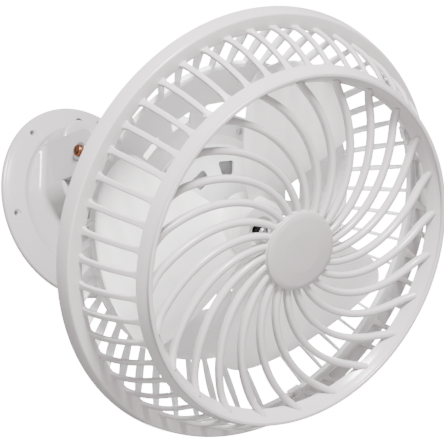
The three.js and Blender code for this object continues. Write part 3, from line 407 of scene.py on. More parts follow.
# Cable grommet
# A black rubber ring pressed into the slot in the foot's step, where the supply cable enters.
# Its lip is rounded and its bore is left empty.
def rubber(name, colour):
    """Matt rubber with a faint bloom and a fine grain."""
    material, tree, surface, place = shader(name, "rubber", colour, 0.75)
    bloom = noise(tree, place, 180, 4)
    tint = blend_colours(tree, bloom, colour, tuple(min(part * 2.2, 1) for part in colour))
    tree.links.new(tint, surface.inputs["Base Color"])
    relief(tree, surface, noise(tree, place, 1500, 2), 0.25, 0.0002)
    return material


black_rubber = rubber("black rubber", (0.012, 0.012, 0.013))
cable_ring = slot_body(10.4, 4.4, 4.9, 9.1)
carve(cable_ring, [slot_body(13.8, 7.8, 7.9, 9.1, 0.4)], "UNION")
carve(cable_ring, [slot_body(8.6, 2.6, 0, 12)])
finish_piece(cable_ring, foot_space, black_rubber, "base", ["cable_grommet"])


# Terminal block
# Grey insulating plastic with three brass clamping screws, fixed by two zinc-plated screws
# under the front wall of the turret. The pieces keep their solid shape from the frame.
def turned_metal(name, colour, roughness, streaks=260, metallic=1.0):
    """Plated or turned metal: fine tool streaks and a little tarnish in the colour."""
    material, tree, surface, place = shader(name, "metal", colour, roughness, metallic)
    dull = tuple(part * 0.72 for part in colour)
    tarnish = noise(tree, place, 90, 5)
    tree.links.new(blend_colours(tree, tarnish, dull, colour), surface.inputs["Base Color"])
    tree.links.new(spread(tree, noise(tree, place, streaks, 3), roughness - 0.1, roughness + 0.15),
                   surface.inputs["Roughness"])
    relief(tree, surface, noise(tree, place, streaks * 6, 2), 0.15, 0.0001)
    return material


def dress_node(name, material):
    """Dresses a piece that keeps its solid shape from the frame."""
    node = frame["nodes"][name]
    node.data.materials.clear()
    node.data.materials.append(material)


grey_plastic = moulded_plastic(
    "grey insulating plastic", (0.34, 0.34, 0.35), (0.28, 0.28, 0.29), 0.5, 0.3)
brass = turned_metal("turned brass", (0.62, 0.46, 0.22), 0.32)
zinc = turned_metal("zinc plated steel", (0.62, 0.63, 0.65), 0.3)
dress_node("terminal_block", grey_plastic)
for i in range(3):
    dress_node(f"terminal_screw_{i + 1}", brass)
for i in range(2):
    dress_node(f"terminal_fixing_screw_{i + 1}", zinc)


# Pivot hardware
# A copper-coloured bolt passes through both ears and the tail. Plain washers lie on the ears,
# and a split washer and a hexagonal nut clamp the tilt. Rubber friction washers hold the angle.
def drive_cross(half_width, depth, reach, top):
    """The cutter for a cross recess that tapers inwards."""
    cutters = []
    for turn in (0, math.pi / 2):
        outline = [(-reach, top + 1), (reach, top + 1), (reach, top), (half_width, top - depth),
                   (-half_width, top - depth), (-reach, top)]
        blade = plate("cross", outline, -half_width, half_width)
        moved(blade, Matrix.Rotation(math.pi / 2, 4, "X"), Matrix.Rotation(turn, 4, "Z"))
        cutters.append(blade)
    return cutters


def threaded_pin(radius, pitch, low, high):
    """A turned shank with thread ridges."""
    outline = [(0, low), (radius - pitch * 0.55, low)]
    turns = max(int((high - low) / pitch), 1)
    for i in range(turns):
        outline.append((radius, low + pitch * (i + 0.5)))
        outline.append((radius - pitch * 0.55, low + pitch * (i + 1)))
    outline.append((0, low + pitch * turns))
    return turned("thread", outline, 24)


copper = turned_metal("copper coloured plating", (0.26, 0.115, 0.06), 0.3)
HEAD_FACE = 51.8
BOLT_RADIUS = 3.0
bolt = turned("pivot_bolt_piece", [
    (0, -HEAD_FACE - 3.4), (3.0, -HEAD_FACE - 3.3, 2), (5.0, -HEAD_FACE - 2.4, 1.5),
    (5.6, -HEAD_FACE, 0.2), (BOLT_RADIUS, -HEAD_FACE), (BOLT_RADIUS, 50), (0, 50)], 48)
carve(bolt, [threaded_pin(BOLT_RADIUS, 0.8, 49.5, 61)], "UNION")
groove = box("groove", (-0.6, -6, -HEAD_FACE - 4), (0.6, 6, -HEAD_FACE - 2.0))
carve(bolt, [groove])
across(bolt, pivot_up, pivot_out)
finish_piece(bolt, foot_space, copper, "base", ["pivot_bolt"])


def washer(name, outer, low, high):
    """A washer round the pivot bolt."""
    outline = [(BOLT_WAY, low, 0.2), (outer, low, 0.25), (outer, high, 0.25), (BOLT_WAY, high, 0.2)]
    return turned(name, outline, 56)


for side, low, high in (("left", -51.5, -50.3), ("right", 50.3, 51.5)):
    flat = across(washer(f"flat_washer_{side}", 8.0, low, high), pivot_up, pivot_out)
    finish_piece(flat, foot_space, zinc, "base", [f"pivot_washer_{side}"])
for side, low, high in (("left", -44.0, -41.8), ("right", 41.8, 44.0)):
    pad = across(washer(f"friction_pad_{side}", 13.0, low, high), pivot_up, pivot_out)
    finish_piece(pad, foot_space, black_rubber, "base", [f"friction_washer_{side}"])

split_washer = washer("split_washer", 5.4, 51.8, 53.3)
gap = box("gap", (2, -0.5, 51), (8, 0.5, 54))
moved(gap, Matrix.Rotation(math.radians(-18), 4, "X"))
carve(split_washer, [gap])
across(split_washer, pivot_up, pivot_out)
finish_piece(split_washer, foot_space, zinc, "base", ["pivot_spring_washer"])


def hexagon(name, across_corners, low, high, bore):
    """A nut: a hexagon with chamfered ends and a plain round bore."""
    outline = [(across_corners * math.cos(bearing), across_corners * math.sin(bearing))
               for bearing in (math.pi / 3 * i for i in range(6))]
    nut = plate(name, outline, low, high)
    cone = across_corners * 0.9
    lathe = turned("chamfer", [
        (0, low), (cone, low), (across_corners + 0.3, low + 1), (across_corners + 0.3, high - 1),
        (cone, high), (0, high)], 48)
    carve(nut, [lathe], "INTERSECT")
    carve(nut, [pin("bore", bore, low - 1, high + 1)])
    return nut


pivot_nut = across(hexagon("pivot_nut_piece", 5.8, 53.6, 58.6, 3.1), pivot_up, pivot_out)
finish_piece(pivot_nut, foot_space, zinc, "base", ["pivot_nut"])

# Rear cover and tail
# A deep white cup over the motor whose hollow tail lies between the ears and turns on the bolt.
# Slots near its back let the motor's warmth out. Four screws from the dish hold its flange.
spin = next(joint for joint in frame["joints"] if joint["name"] == "blade_spin")
GUARD_FROM_PIVOT = 194.0
TAIL_RADIUS = 19.5
TAIL_FRONT = -138.0
COVER_SLOT_COUNT = 8
fan_axis = Vector(spin["axis"])
side_axis = Vector((1, 0, 0))
guard_turn = Matrix((side_axis, fan_axis.cross(side_axis), fan_axis)).transposed().to_4x4()
guard_origin = pivot + fan_axis * GUARD_FROM_PIVOT * MILLIMETRE
guard_space = Matrix.Translation(guard_origin) @ guard_turn @ Matrix.Scale(MILLIMETRE, 4)

white_plastic = moulded_plastic("glossy white plastic", (0.87, 0.86, 0.86), (0.84, 0.83, 0.83), 0.3)
tail_sides = [(-GUARD_FROM_PIVOT - TAIL_RADIUS * math.cos(a), TAIL_RADIUS * math.sin(a))
              for a in (math.pi * (0.5 - i / 20) for i in range(21))]
tail = plate("tail", [(TAIL_FRONT, TAIL_RADIUS), *tail_sides, (TAIL_FRONT, -TAIL_RADIUS)],
             -41.5, 41.5, 2.2, 4)
moved(tail, ALONG_X, Matrix.Diagonal((-1, 1, 1, 1)))
motor_cup = turned("motor_cup", [
    (0, -143.3), (46, -143.3, 6), (60.2, -134.8, 6), (62, -126, 4), (62, -67.5, 0.8), (74, -67.5, 0.6),
    (74, -64.3, 0.6), (59, -64.3), (59, -126), (43, -140.3), (0, -140.3)])
carve(motor_cup, [tail], "UNION")
slots = []
for i in range(COVER_SLOT_COUNT):
    slot = box("slot", (55, -6.5, -129.3), (66, 6.5, -120.3), 1.2)
    slots.append(moved(slot, Matrix.Rotation(2 * math.pi * i / COVER_SLOT_COUNT, 4, "Z")))
carve(motor_cup, [
    *slots,
    moved(pin("bolt_way", BOLT_WAY, -60, 60), Matrix.Rotation(math.pi / 2, 4, "Y"),
          Matrix.Translation((0, 0, -GUARD_FROM_PIVOT))),
    moved(pin("lead_way", 2.5, -218, -190), Matrix.Translation((LEAD_OFFSET, -11, 0))),
])
finish_piece(motor_cup, guard_space, white_plastic, "head", ["rear_cover"])

# Motor
# A small capacitor motor: stacked core, copper end turns, cast end shields with brass bushes and
# four through bolts, with its capacitor strapped behind it. These keep their solids from the frame.
laminations, tree, surface, place = shader(
    "stacked laminations", "steel", (0.16, 0.165, 0.17), 0.45, 1.0)
stack = tree.nodes.new("ShaderNodeTexWave")
stack.inputs["Scale"].default_value = 300
stack.inputs["Distortion"].default_value = 0.6
stack.bands_direction = "Z"
tree.links.new(place, stack.inputs["Vector"])
tree.links.new(blend_colours(tree, stack.outputs["Fac"], (0.10, 0.10, 0.105), (0.24, 0.24, 0.25)),
               surface.inputs["Base Color"])
relief(tree, surface, stack.outputs["Fac"], 0.5, 0.0003)
cast_aluminium = turned_metal("cast aluminium", (0.80, 0.81, 0.82), 0.6, 400, 0.2)
copper_wire = turned_metal("varnished copper wire", (0.50, 0.20, 0.075), 0.35, 700)
dark_steel = turned_metal("blackened steel", (0.05, 0.05, 0.055), 0.4)
grey_sleeve = rubber("grey lead sleeve", (0.16, 0.16, 0.17))
for part in ("stator_core", "rotor_core"):
    dress_node(part, laminations)
for part in ("end_shield_front", "end_shield_rear", "rotor_end_ring_front", "rotor_end_ring_rear"):
    dress_node(part, cast_aluminium)
for part in ("winding_front", "winding_rear"):
    dress_node(part, copper_wire)
for part in ("bush_front", "bush_rear"):
    dress_node(part, brass)
for part in ("rotor_shaft", "drive_pin", "capacitor_clip", "clip_screw_1", "clip_screw_2",
             *(f"motor_bolt_{i + 1}" for i in range(4))):
    dress_node(part, zinc)
for part in ("shaft_collar_front", "shaft_collar_rear", "blade_insert"):
    dress_node(part, dark_steel)
dress_node("capacitor", grey_plastic)
dress_node("motor_lead", grey_sleeve)

# Rear guard
# One white moulding: an outer ring, deep thin radial ribs, and a smooth dish with a ring of
# vents that seats on the motor's cover. Four lugs take the screws that hold the front guard.
BACK_RING = 179.1
BACK_RING_WIDTH = 9.0
BACK_RIB_COUNT = 48
DISH_VENT_COUNT = 16
DISH_VENT_HALF = math.radians(6.5)
GUARD_SCREW_RING = 173.2
GUARD_SCREW_COUNT = 4
GUARD_SCREW_START = 41.25
COVER_SCREW_RING = 67.5
COVER_SCREW_COUNT = 4
COVER_SCREW_START = 86
DOME_SCREW_RING = 57.8
DOME_SCREW_COUNT = 3
DOME_SCREW_START = 41


def add_node(tree, kind, inputs=None, **settings):
    """A node of a geometry tree, with its inputs linked or set."""
    made = tree.nodes.new(kind)
    for name, value in settings.items():
        setattr(made, name, value)
    for name, value in (inputs or {}).items():
        if isinstance(value, bpy.types.NodeSocket):
            tree.links.new(value, made.inputs[name])
        else:
            made.inputs[name].default_value = value
    return made


def calculate(tree, operation, first, second=0.0, third=0.0):
    """One sum in a geometry tree."""
    made = tree.nodes.new("ShaderNodeMath")
    made.operation = operation
    for socket, value in zip(made.inputs, (first, second, third)):
        if isinstance(value, bpy.types.NodeSocket):
            tree.links.new(value, socket)
        else:
            socket.default_value = value
    return made.outputs[0]


def new_tree(name, sizes):
    """A geometry tree with a geometry way through and named inputs for its sizes."""
    tree = bpy.data.node_groups.new(name, "GeometryNodeTree")
    tree.interface.new_socket("Geometry", in_out="INPUT", socket_type="NodeSocketGeometry")
    tree.interface.new_socket("Geometry", in_out="OUTPUT", socket_type="NodeSocketGeometry")
    kinds = {int: "NodeSocketInt", float: "NodeSocketFloat", str: "NodeSocketMaterial"}
    for label, value in sizes.items():
        socket = tree.interface.new_socket(label, in_out="INPUT", socket_type=kinds[type(value)])
        if not isinstance(value, str):
            socket.default_value = value
    start = tree.nodes.new("NodeGroupInput")
    return tree, start.outputs


def end_tree(tree, geometry, material):
    """Makes the copies real, sets their material and closes the tree."""
    real = add_node(tree, "GeometryNodeRealizeInstances", {"Geometry": geometry})
    dressed = add_node(tree, "GeometryNodeSetMaterial", {
        "Geometry": real.outputs[0], "Material": material})
    last = tree.nodes.new("NodeGroupOutput")
    tree.links.new(dressed.outputs[0], last.inputs[0])


def copies_round(tree, shape, count, start):
    """Sets copies of a shape at equal steps round Z."""
    spots = add_node(tree, "GeometryNodePoints", {"Count": count})
    step = calculate(tree, "DIVIDE", 2 * math.pi, count)
    index = add_node(tree, "GeometryNodeInputIndex")
    turn = calculate(tree, "MULTIPLY_ADD", index.outputs[0], step, start)
    turning = add_node(tree, "ShaderNodeCombineXYZ", {"Z": turn})
    return add_node(tree, "GeometryNodeInstanceOnPoints", {
        "Points": spots.outputs[0], "Instance": shape, "Rotation": turning.outputs[0]}).outputs[0]


def ring_of_copies():
    """A tree that sets copies of its geometry at equal steps round Z."""
    tree, given = new_tree("ring of copies", {"Copies": 4, "Start": 0.0, "Material": "finish"})
    copies = copies_round(tree, given["Geometry"], given["Copies"], given["Start"])
    end_tree(tree, copies, given["Material"])
    return tree


copies_tree = ring_of_copies()


def grow(piece, tree, **sizes):
    """Runs a geometry tree on a piece and keeps the result as its plain mesh."""
    change = piece.modifiers.new("Grow", "NODES")
    change.node_group = tree
    for item in tree.interface.items_tree:
        label = item.name.replace(" ", "_").lower()
        if item.in_out == "INPUT" and label in sizes:
            change[item.identifier] = sizes[label]
    return settle(piece)


RIB_END = BACK_RING - BACK_RING_WIDTH / 2
back_rib = plate("back_rib", [
    (RIB_END, -5.6, 0.8), (RIB_END, -0.4, 0.8), (152, -16.4, 60), (127.5, -35.4, 1),
    (127.5, -41.7, 1), (151, -28.2, 60)], -1.1, 1.1, 0.5, 2)
moved(back_rib, Matrix.Rotation(math.pi / 2, 4, "X"))
grow(back_rib, copies_tree, copies=BACK_RIB_COUNT, start=0.0, material=white_plastic)
dish = turned("dish", [
    (55, -64, 0.5), (74, -64, 4), (96, -52.6, 30), (125, -42.2, 3), (130, -42, 1.2), (130, -35, 1.6),
    (125, -36.3, 3), (96, -50, 30), (74, -61.4, 4), (55, -61.4, 0.5)])


def window_outline(inner, inner_half, inner_corner, outer, outer_half, outer_corner):
    """A window of a ring between two radii, each with its half angle and its corners' radius."""
    corners = [(inner, -inner_half, inner_corner), (outer, -outer_half, outer_corner),
               (outer, outer_half, outer_corner), (inner, inner_half, inner_corner)]
    return [(radius * math.cos(turn), radius * math.sin(turn), corner) for radius, turn, corner in corners]


dish_vent = plate("dish_vent", window_outline(
    80, DISH_VENT_HALF, 1.6, 92, DISH_VENT_HALF, 1.6), -70, -45)
grow(dish_vent, copies_tree, copies=DISH_VENT_COUNT, material=white_plastic)
carve(dish, [dish_vent])
back_ring = turned("rear_guard_piece", [
    (BACK_RING - BACK_RING_WIDTH, -6, 0.8), (BACK_RING, -6, 1.2), (BACK_RING, 0, 0.5),
    (BACK_RING - BACK_RING_WIDTH, 0, 0.8)], 256)
lug = box("lug", (168.5, -6, -6), (BACK_RING - 0.4, 6, -0.02), 0.6)
grow(lug, copies_tree, copies=GUARD_SCREW_COUNT, start=math.radians(GUARD_SCREW_START),
     material=white_plastic)
carve(back_ring, [dish, back_rib, lug], "UNION")


def holes_round(radius, ring, low, high, count, start):
    """The cutter for a ring of round holes; the start angle is in degrees."""
    hole = moved(pin("hole", radius, low, high, 20), Matrix.Translation((ring, 0, 0)))
    return grow(hole, copies_tree, copies=count, start=math.radians(start), material=white_plastic)


carve(back_ring, [
    holes_round(2.0, GUARD_SCREW_RING, -10, 4, GUARD_SCREW_COUNT, GUARD_SCREW_START),
    holes_round(1.9, COVER_SCREW_RING, -70, -55, COVER_SCREW_COUNT, COVER_SCREW_START),
    holes_round(1.6, DOME_SCREW_RING, -70, -55, DOME_SCREW_COUNT, DOME_SCREW_START),
])
finish_piece(back_ring, guard_space, white_plastic, "head", ["rear_guard"])


# Cover screws
# Zinc-plated pan heads with a cross recess, driven from the front through the dish into the
# motor cup's flange.
def pan_screw(name, head, height, shank, seat, tip):
    """A screw along Z: its head stands on the seat and its thread ends at the tip."""
    way = 1 if seat > tip else -1
    body = turned(name, [
        (0, 0), (head - 0.2, 0, 0.2), (head, height * 0.45, 0.5), (head * 0.72, height * 0.92, 1.2),
        (0, height)], 28)
    carve(body, [threaded_pin(shank, 0.9, -abs(seat - tip), 0.3)], "UNION")
    carve(body, drive_cross(head * 0.16, height * 0.75, head * 0.55, height))
    turn = Matrix.Identity(4) if way > 0 else Matrix.Rotation(math.pi, 4, "X")
    return moved(body, turn, Matrix.Translation((0, 0, seat)))


def screws_round(name, ring, count, start, node, **sizes):
    """A ring of equal screws that stand for numbered nodes; the start angle is in degrees."""
    body = pan_screw(name, **sizes)
    moved(body, Matrix.Translation((ring, 0, 0)))
    grow(body, copies_tree, copies=count, start=math.radians(start), material=zinc)
    nodes = [f"{node}_{i + 1}" for i in range(count)]
    finish_piece(body, guard_space, zinc, "head", nodes)


screws_round("dish_screws", COVER_SCREW_RING, COVER_SCREW_COUNT, COVER_SCREW_START, "cover_screw",
             head=3.2, height=2.0, shank=1.6, seat=-61.1, tip=-70.5)

# Motor cover
# A vented white dome in front of the motor, with a skirt and a flange held by three screws.
# Its rounded windows open wider outwards and show the cast end shield.
dome = turned("motor_dome", [
    (50.8, -61.1), (61, -61.1, 0.6), (61, -59.1, 0.6), (53.4, -59.1, 2), (50.9, -47.1, 5),
    (44, -41.4, 14), (33, -36.6, 20), (13, -35.1, 0.8), (13, -37.3, 0.6), (33, -38.8, 20),
    (43, -43.4, 14), (48.6, -49, 5)])
WINDOW_COUNT = 9
WINDOW_START = math.radians(28)
window = plate("window", window_outline(33, 0.17, 1.8, 45, 0.19, 2.4), -46.5, -30)
grow(window, copies_tree, copies=WINDOW_COUNT, start=WINDOW_START, material=white_plastic)
carve(dome, [window, holes_round(1.6, DOME_SCREW_RING, -64, -55, DOME_SCREW_COUNT, DOME_SCREW_START)])
finish_piece(dome, guard_space, white_plastic, "head", ["motor_cover"])
screws_round("dome_screws", DOME_SCREW_RING, DOME_SCREW_COUNT, DOME_SCREW_START, "motor_cover_screw",
             head=2.5, height=1.5, shank=1.3, seat=-58.8, tip=-63.7)

# Blade set
# One satin white moulding: a hub with three wide pitched blades that thin out towards their
# rounded tips. A blackened insert and nut hold it on the shaft.
HUB_RADIUS = 26.0
TIP_RADIUS = 141.0
BLADE_COUNT = 3
BLADE_START = 47
ROOT_SPAN = 88
TIP_SPAN = 72
TIP_FROM = 0.84
# Painted light: the blades' white plastic is made brighter than the other white mouldings so they look
# more lit behind the grille.
blade_plastic_painted_light = moulded_plastic(
    "satin blade plastic", (0.97, 0.955, 0.945), (0.95, 0.93, 0.925), 0.45, 0.04)


def blade_ring(share, chords=22):
    """The closed section of a blade at a share of its length."""
    radius = HUB_RADIUS - 2.2 + (TIP_RADIUS - HUB_RADIUS + 2.2) * share
    tip = max(0.0, (share - TIP_FROM) / (1 - TIP_FROM))
    corner = 1 - math.sqrt(max(1 - tip * tip, 0))
    span = ROOT_SPAN + (TIP_SPAN - ROOT_SPAN) * share
    start = math.radians(BLADE_START + 17 * corner)
    end = math.radians(BLADE_START + span - 7 * corner)
    reach = 0.62 + 0.38 * share
    thick = 2.2 * (1 - 0.35 * share) * (1 if share < 0.995 else 0.35)
    upper, lower = [], []
    for i in range(chords + 1):
        along = i / chords
        bearing = start + (end - start) * along
        height = -20 * reach + 40 * reach * along - 6 * math.sin(math.pi * along) * share
        edge = math.sqrt(max(1 - (2 * along - 1) ** 8, 0.02))
        spot = (radius * math.cos(bearing), radius * math.sin(bearing))
        upper.append((*spot, height + thick / 2 * edge))
        lower.append((*spot, height - thick / 2 * edge))
    return upper + lower[::-1]


shares = [i / 24 * TIP_FROM for i in range(24)]
shares += [TIP_FROM + (1 - TIP_FROM) * math.sin(math.pi / 2 * i / 10) for i in range(11)]
blade = skin("blade", [blade_ring(share) for share in shares])
grow(blade, copies_tree, copies=BLADE_COUNT, start=0.0, material=blade_plastic_painted_light)
hub = turned("blade_hub", [
    (0, -14), (HUB_RADIUS, -14, 0.8), (HUB_RADIUS, 12, 3), (22.5, 16, 2), (12.6, 16, 0.8),
    (11.8, 12, 0.6), (0, 12)], 128)
carve(hub, [blade], "UNION")
carve(hub, [
    turned("hollow", [(14, -20), (22, -20), (22, -2, 2), (14, -2, 2)], 96),
    pin("insert_seat", 6.7, -20, 20, 48),
    pin("flange_seat", 9.3, -20, -11.7, 48),
])
finish_piece(hub, guard_space, blade_plastic_painted_light, "rotor", ["blade_set"])
nut = hexagon("shaft_nut", 5.9, 12.3, 17.8, 4.2)
finish_piece(nut, guard_space, dark_steel, "rotor", ["blade_nut"])

# Front guard
# One glossy white moulding: a deep rim with a flange, side bars, a sharp crest ring and spiral
# ribs that run into the hub plate.
RIM_RADIUS = 184.0
CREST_RADIUS = 144.5
CREST_HEIGHT = 75.0
RIB_COUNT = 24
RIB_TURN = math.radians(49)
RIB_START = math.radians(10.5)
BAR_COUNT = 48
BAR_START = math.radians(4.9)
BAR_FOOT = (169.3, 10.2)
BAR_HEAD = (149.5, 62.6)
PLATE_RADIUS = 33.0
PEG_RING = 22.0
PEG_COUNT = 3
# Painted shade and painted reflection: the guard is the same white plastic as the rear guard, darkened to
# grey for shade and tinted pink for a pinkish reflection.
guard_plastic_painted_shade = moulded_plastic("rosy white plastic", (0.44, 0.405, 0.415), (0.415, 0.38, 0.39), 0.2)
rim = turned("front_guard_piece", [
    (RIM_RADIUS - 2.8, 0, 0.3), (RIM_RADIUS, 0, 0.6), (RIM_RADIUS - 3.4, 13, 2.2),
    (167.1, 11.6, 0.9), (167.1, 8.8, 0.9), (177.8, 10.2, 1.5)], 288)
crest = turned("crest", [
    (148, 61.5, 0.5), (151, 61.5, 1.0), (146.9, 69.4, 6), (145.7, 72.0, 0.3),
    (146.6, 72.6, 0.5), (146.6, CREST_HEIGHT, 1.4), (142.9, CREST_HEIGHT, 1.4), (142.9, 72.6, 0.5),
    (143.4, 71.8, 0.3), (139.6, 67.6, 8), (135.5, 61.5, 1.0), (138.5, 61.5, 0.5),
    (CREST_RADIUS, 70.5)], 288)


def profile_of(tree, width, depth, corner):
    """The closed section of a bar: a rectangle with round corners."""
    rectangle = add_node(tree, "GeometryNodeCurvePrimitiveQuadrilateral", {
        "Width": width, "Height": depth})
    return add_node(tree, "GeometryNodeFilletCurve", {
        "Curve": rectangle.outputs[0], "Count": 4, "Radius": corner}, mode="POLY").outputs[0]


def spiral_ribs():
    """A tree that sweeps spiral ribs from the hub plate to the crest ring."""
    tree, given = new_tree("spiral ribs", {
        "Ribs": RIB_COUNT, "Inner": 28.5, "Outer": 141.0, "Turn": RIB_TURN, "Start": RIB_START,
        "Top": 67.2, "Crown": 2.5, "Lift": 4.5, "Width": 5.8, "Depth": 7.0, "Corner": 2.4,
        "Material": "finish"})
    line = add_node(tree, "GeometryNodeCurvePrimitiveLine")
    fine = add_node(tree, "GeometryNodeResampleCurve", {"Curve": line.outputs[0], "Count": 44})
    along = add_node(tree, "GeometryNodeSplineParameter").outputs["Factor"]
    reach = calculate(tree, "SUBTRACT", given["Outer"], given["Inner"])
    radius = calculate(tree, "MULTIPLY_ADD", along, reach, given["Inner"])
    bearing = calculate(tree, "MULTIPLY", calculate(tree, "SUBTRACT", along, 1.0), given["Turn"])
    x = calculate(tree, "MULTIPLY", radius, calculate(tree, "COSINE", bearing))
    y = calculate(tree, "MULTIPLY", radius, calculate(tree, "SINE", bearing))
    droop = calculate(tree, "SUBTRACT", 1.0, calculate(
        tree, "COSINE", calculate(tree, "MULTIPLY", along, math.pi / 2)))
    middle = calculate(tree, "MULTIPLY_ADD", given["Depth"], -0.5, given["Top"])
    end = calculate(tree, "MAXIMUM", calculate(tree, "MULTIPLY_ADD", along, 9.0, -8.0), 0.0)
    rise = calculate(tree, "MULTIPLY", calculate(tree, "POWER", end, 1.6), given["Lift"])
    level = calculate(tree, "SUBTRACT", middle, calculate(tree, "MULTIPLY", droop, given["Crown"]))
    z = calculate(tree, "ADD", level, rise)
    spot = add_node(tree, "ShaderNodeCombineXYZ", {"X": x, "Y": y, "Z": z})
    path = add_node(tree, "GeometryNodeSetPosition", {
        "Geometry": fine.outputs[0], "Position": spot.outputs[0]})
    upright = add_node(tree, "GeometryNodeSetCurveNormal", {"Curve": path.outputs[0]}, mode="Z_UP")
    swept = add_node(tree, "GeometryNodeCurveToMesh", {
        "Curve": upright.outputs[0], "Fill Caps": True,
        "Profile Curve": profile_of(tree, given["Width"], given["Depth"], given["Corner"])})
    copies = copies_round(tree, swept.outputs[0], given["Ribs"], given["Start"])
    end_tree(tree, copies, given["Material"])
    return tree


def empty_piece(name):
    """A piece without points, for a tree that draws all of its own."""
    piece = bpy.data.objects.new(name, bpy.data.meshes.new(name))
    bpy.context.collection.objects.link(piece)
    return piece


ribs = grow(empty_piece("ribs"), spiral_ribs(), ribs=RIB_COUNT, inner=28.5, outer=141.0,
            turn=RIB_TURN, start=RIB_START, top=67.2, crown=2.5, lift=4.5, width=5.8, depth=7.0,
            corner=2.4, material=white_plastic)


def side_bar():
    """One side bar: a bowed bar from the flange to the crest ring's outer foot."""
    rings = []
    for i in range(17):
        along = i / 16
        radius = BAR_FOOT[0] + (BAR_HEAD[0] - BAR_FOOT[0]) * along + 3.5 * math.sin(math.pi * along)
        height = BAR_FOOT[1] + (BAR_HEAD[1] - BAR_FOOT[1]) * along
        flare = 1 + 0.9 * max(0, 1 - along / 0.14) ** 2 + 0.5 * max(0, (along - 0.88) / 0.12) ** 2
        half_width = 2.5 * flare
        half_depth = 1.9 if along < 0.85 else 1.9 - 0.85 * (along - 0.85) / 0.15
        section = rounded([(-half_depth, -half_width, 1.3), (half_depth, -half_width, 1.3),
                           (half_depth, half_width, 1.3), (-half_depth, half_width, 1.3)])
        rings.append([(radius + x, y, height) for x, y in section])
    return skin("side_bar", rings)


bars = grow(side_bar(), copies_tree, copies=BAR_COUNT, start=BAR_START, material=white_plastic)
hub_plate = turned("hub_plate", [
    (0, 63.5), (PLATE_RADIUS, 63.5, 0.8), (PLATE_RADIUS, 67.5, 0.8), (0, 67.5)], 128)
boss = moved(pin("boss", 4.6, 0.3, 11.4), Matrix.Translation((GUARD_SCREW_RING, 0, 0)))
grow(boss, copies_tree, copies=GUARD_SCREW_COUNT, start=math.radians(GUARD_SCREW_START),
     material=white_plastic)
carve(rim, [crest, bars, ribs, hub_plate, boss], "UNION")
carve(rim, [
    holes_round(2.0, GUARD_SCREW_RING, -4, 3.4, GUARD_SCREW_COUNT, GUARD_SCREW_START),
    holes_round(3.3, PEG_RING, 60, 70, PEG_COUNT, 0),
])
finish_piece(rim, guard_space, guard_plastic_painted_shade, "head", ["front_guard"])
screws_round("rim_screws", GUARD_SCREW_RING, GUARD_SCREW_COUNT, GUARD_SCREW_START, "guard_screw",
             head=3.4, height=2.2, shank=1.7, seat=-6.3, tip=2.7)

# Hub cap
# A plain domed white disc pressed into the hub plate by three pegs. Its face is bare.
cap = turned("hub_cap_piece", [
    (0, 67.8), (32.5, 67.8, 0.4), (32.5, 69.6, 1.0), (29, 70.9, 14), (17, 72.2, 30), (0, 72.6)], 160)
pegs = moved(pin("peg", 3, 64.8, 68.2), Matrix.Translation((PEG_RING, 0, 0)))
grow(pegs, copies_tree, copies=PEG_COUNT, start=0.0, material=white_plastic)
carve(cap, [pegs], "UNION")
# Painted shade and painted reflection: the white cap is darkened to grey for shade and tinted pink for a
# pinkish reflection.
cap_plastic_painted_shade = moulded_plastic("rosy cap plastic", (0.36, 0.325, 0.335), (0.34, 0.305, 0.315), 0.32)
finish_piece(cap, guard_space, cap_plastic_painted_shade, "head", ["hub_cap"])

# Studio
# A plain pale floor well below the fan, soft light from above and the left, and a long lens
# that looks up at the fan from its left.
bpy.ops.mesh.primitive_plane_add(size=4, location=(0, 0, -1.3))
floor = bpy.context.active_object
floor.name = "studio_floor"
floor_paint = bpy.data.materials.new("pale floor")
floor_paint.use_nodes = True
floor_surface = floor_paint.node_tree.nodes["Principled BSDF"]
floor_surface.inputs["Base Color"].default_value = (0.42, 0.41, 0.41, 1)
floor.data.materials.append(floor_paint)

world = bpy.data.worlds.new("studio")
bpy.context.scene.world = world
world.use_nodes = True
sky = world.node_tree
heading = sky.nodes.new("ShaderNodeTexCoord").outputs["Generated"]


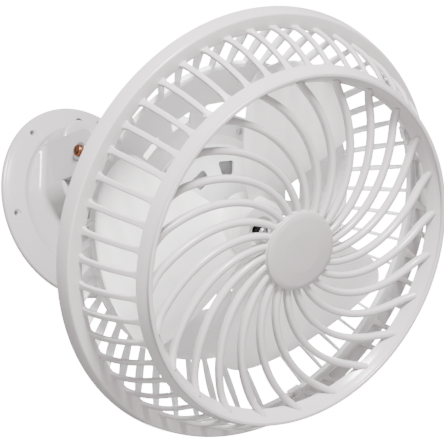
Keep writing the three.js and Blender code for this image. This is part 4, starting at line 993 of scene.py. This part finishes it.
def glow(towards, start, full, low, high):
    """Brightness that rises from low to high as a direction of the sky nears the given one."""
    near = sky.nodes.new("ShaderNodeVectorMath")
    near.operation = "DOT_PRODUCT"
    near.inputs[1].default_value = towards
    sky.links.new(heading, near.inputs[0])
    made = sky.nodes.new("ShaderNodeMapRange")
    made.interpolation_type = "SMOOTHSTEP"
    made.inputs["From Min"].default_value = start
    made.inputs["From Max"].default_value = full
    made.inputs["To Min"].default_value = low
    made.inputs["To Max"].default_value = high
    sky.links.new(near.outputs["Value"], made.inputs["Value"])
    return made.outputs["Result"]


brightness = sky.nodes.new("ShaderNodeMath")
sky.links.new(glow((0, 0, 1), -0.2, 0.2, 0.2, 0.9), brightness.inputs[0])
sky.links.new(glow((0.629, 0.717, 0.30), 0.95, 0.985, 0.0, 16.0), brightness.inputs[1])
sky.links.new(brightness.outputs[0], sky.nodes["Background"].inputs["Strength"])
sky.nodes["Background"].inputs["Color"].default_value = (1, 1, 1, 1)


def soft_light(name, place, target, size, power, colour):
    """A round soft lamp at a place, turned to its target."""
    light = bpy.data.lights.new(name, "AREA")
    light.shape = "DISK"
    light.size = size
    light.energy = power
    light.color = colour
    lamp = bpy.data.objects.new(name, light)
    lamp.location = place
    lamp.rotation_euler = (Vector(target) - Vector(place)).to_track_quat("-Z", "Y").to_euler()
    bpy.context.collection.objects.link(lamp)


LENS = 162.16
SENSOR_WIDTH = 36
view_azimuth = math.radians(-41.27)
view_elevation = math.radians(-17.5)
view_roll = math.radians(0.45)
back = Vector((math.sin(view_azimuth) * math.cos(view_elevation),
               -math.cos(view_azimuth) * math.cos(view_elevation), math.sin(view_elevation)))
level = Vector((math.cos(view_azimuth), math.sin(view_azimuth), 0))
upright = back.cross(level)
right = level * math.cos(view_roll) + upright * math.sin(view_roll)
up = upright * math.cos(view_roll) - level * math.sin(view_roll)
rim_in_view = Vector((0.02308, -0.00575, -1.64199))
camera_data = bpy.data.cameras.new("camera")
camera_data.lens = LENS
camera_data.sensor_width = SENSOR_WIDTH
camera_data.clip_end = 50
camera = bpy.data.objects.new("camera", camera_data)
turn = Matrix((right, up, back)).transposed()
camera.matrix_world = Matrix.Translation(guard_origin - turn @ rim_in_view) @ turn.to_4x4()
bpy.context.collection.objects.link(camera)
bpy.context.scene.camera = camera
soft_light("key", camera.location + up * 1.7 + right * 0.25, guard_origin, 0.7, 290, (1, 0.99, 0.98))
soft_light("fill", camera.location - up * 0.2 + right * 0.2, guard_origin, 1.2, 14, (1, 0.99, 0.99))
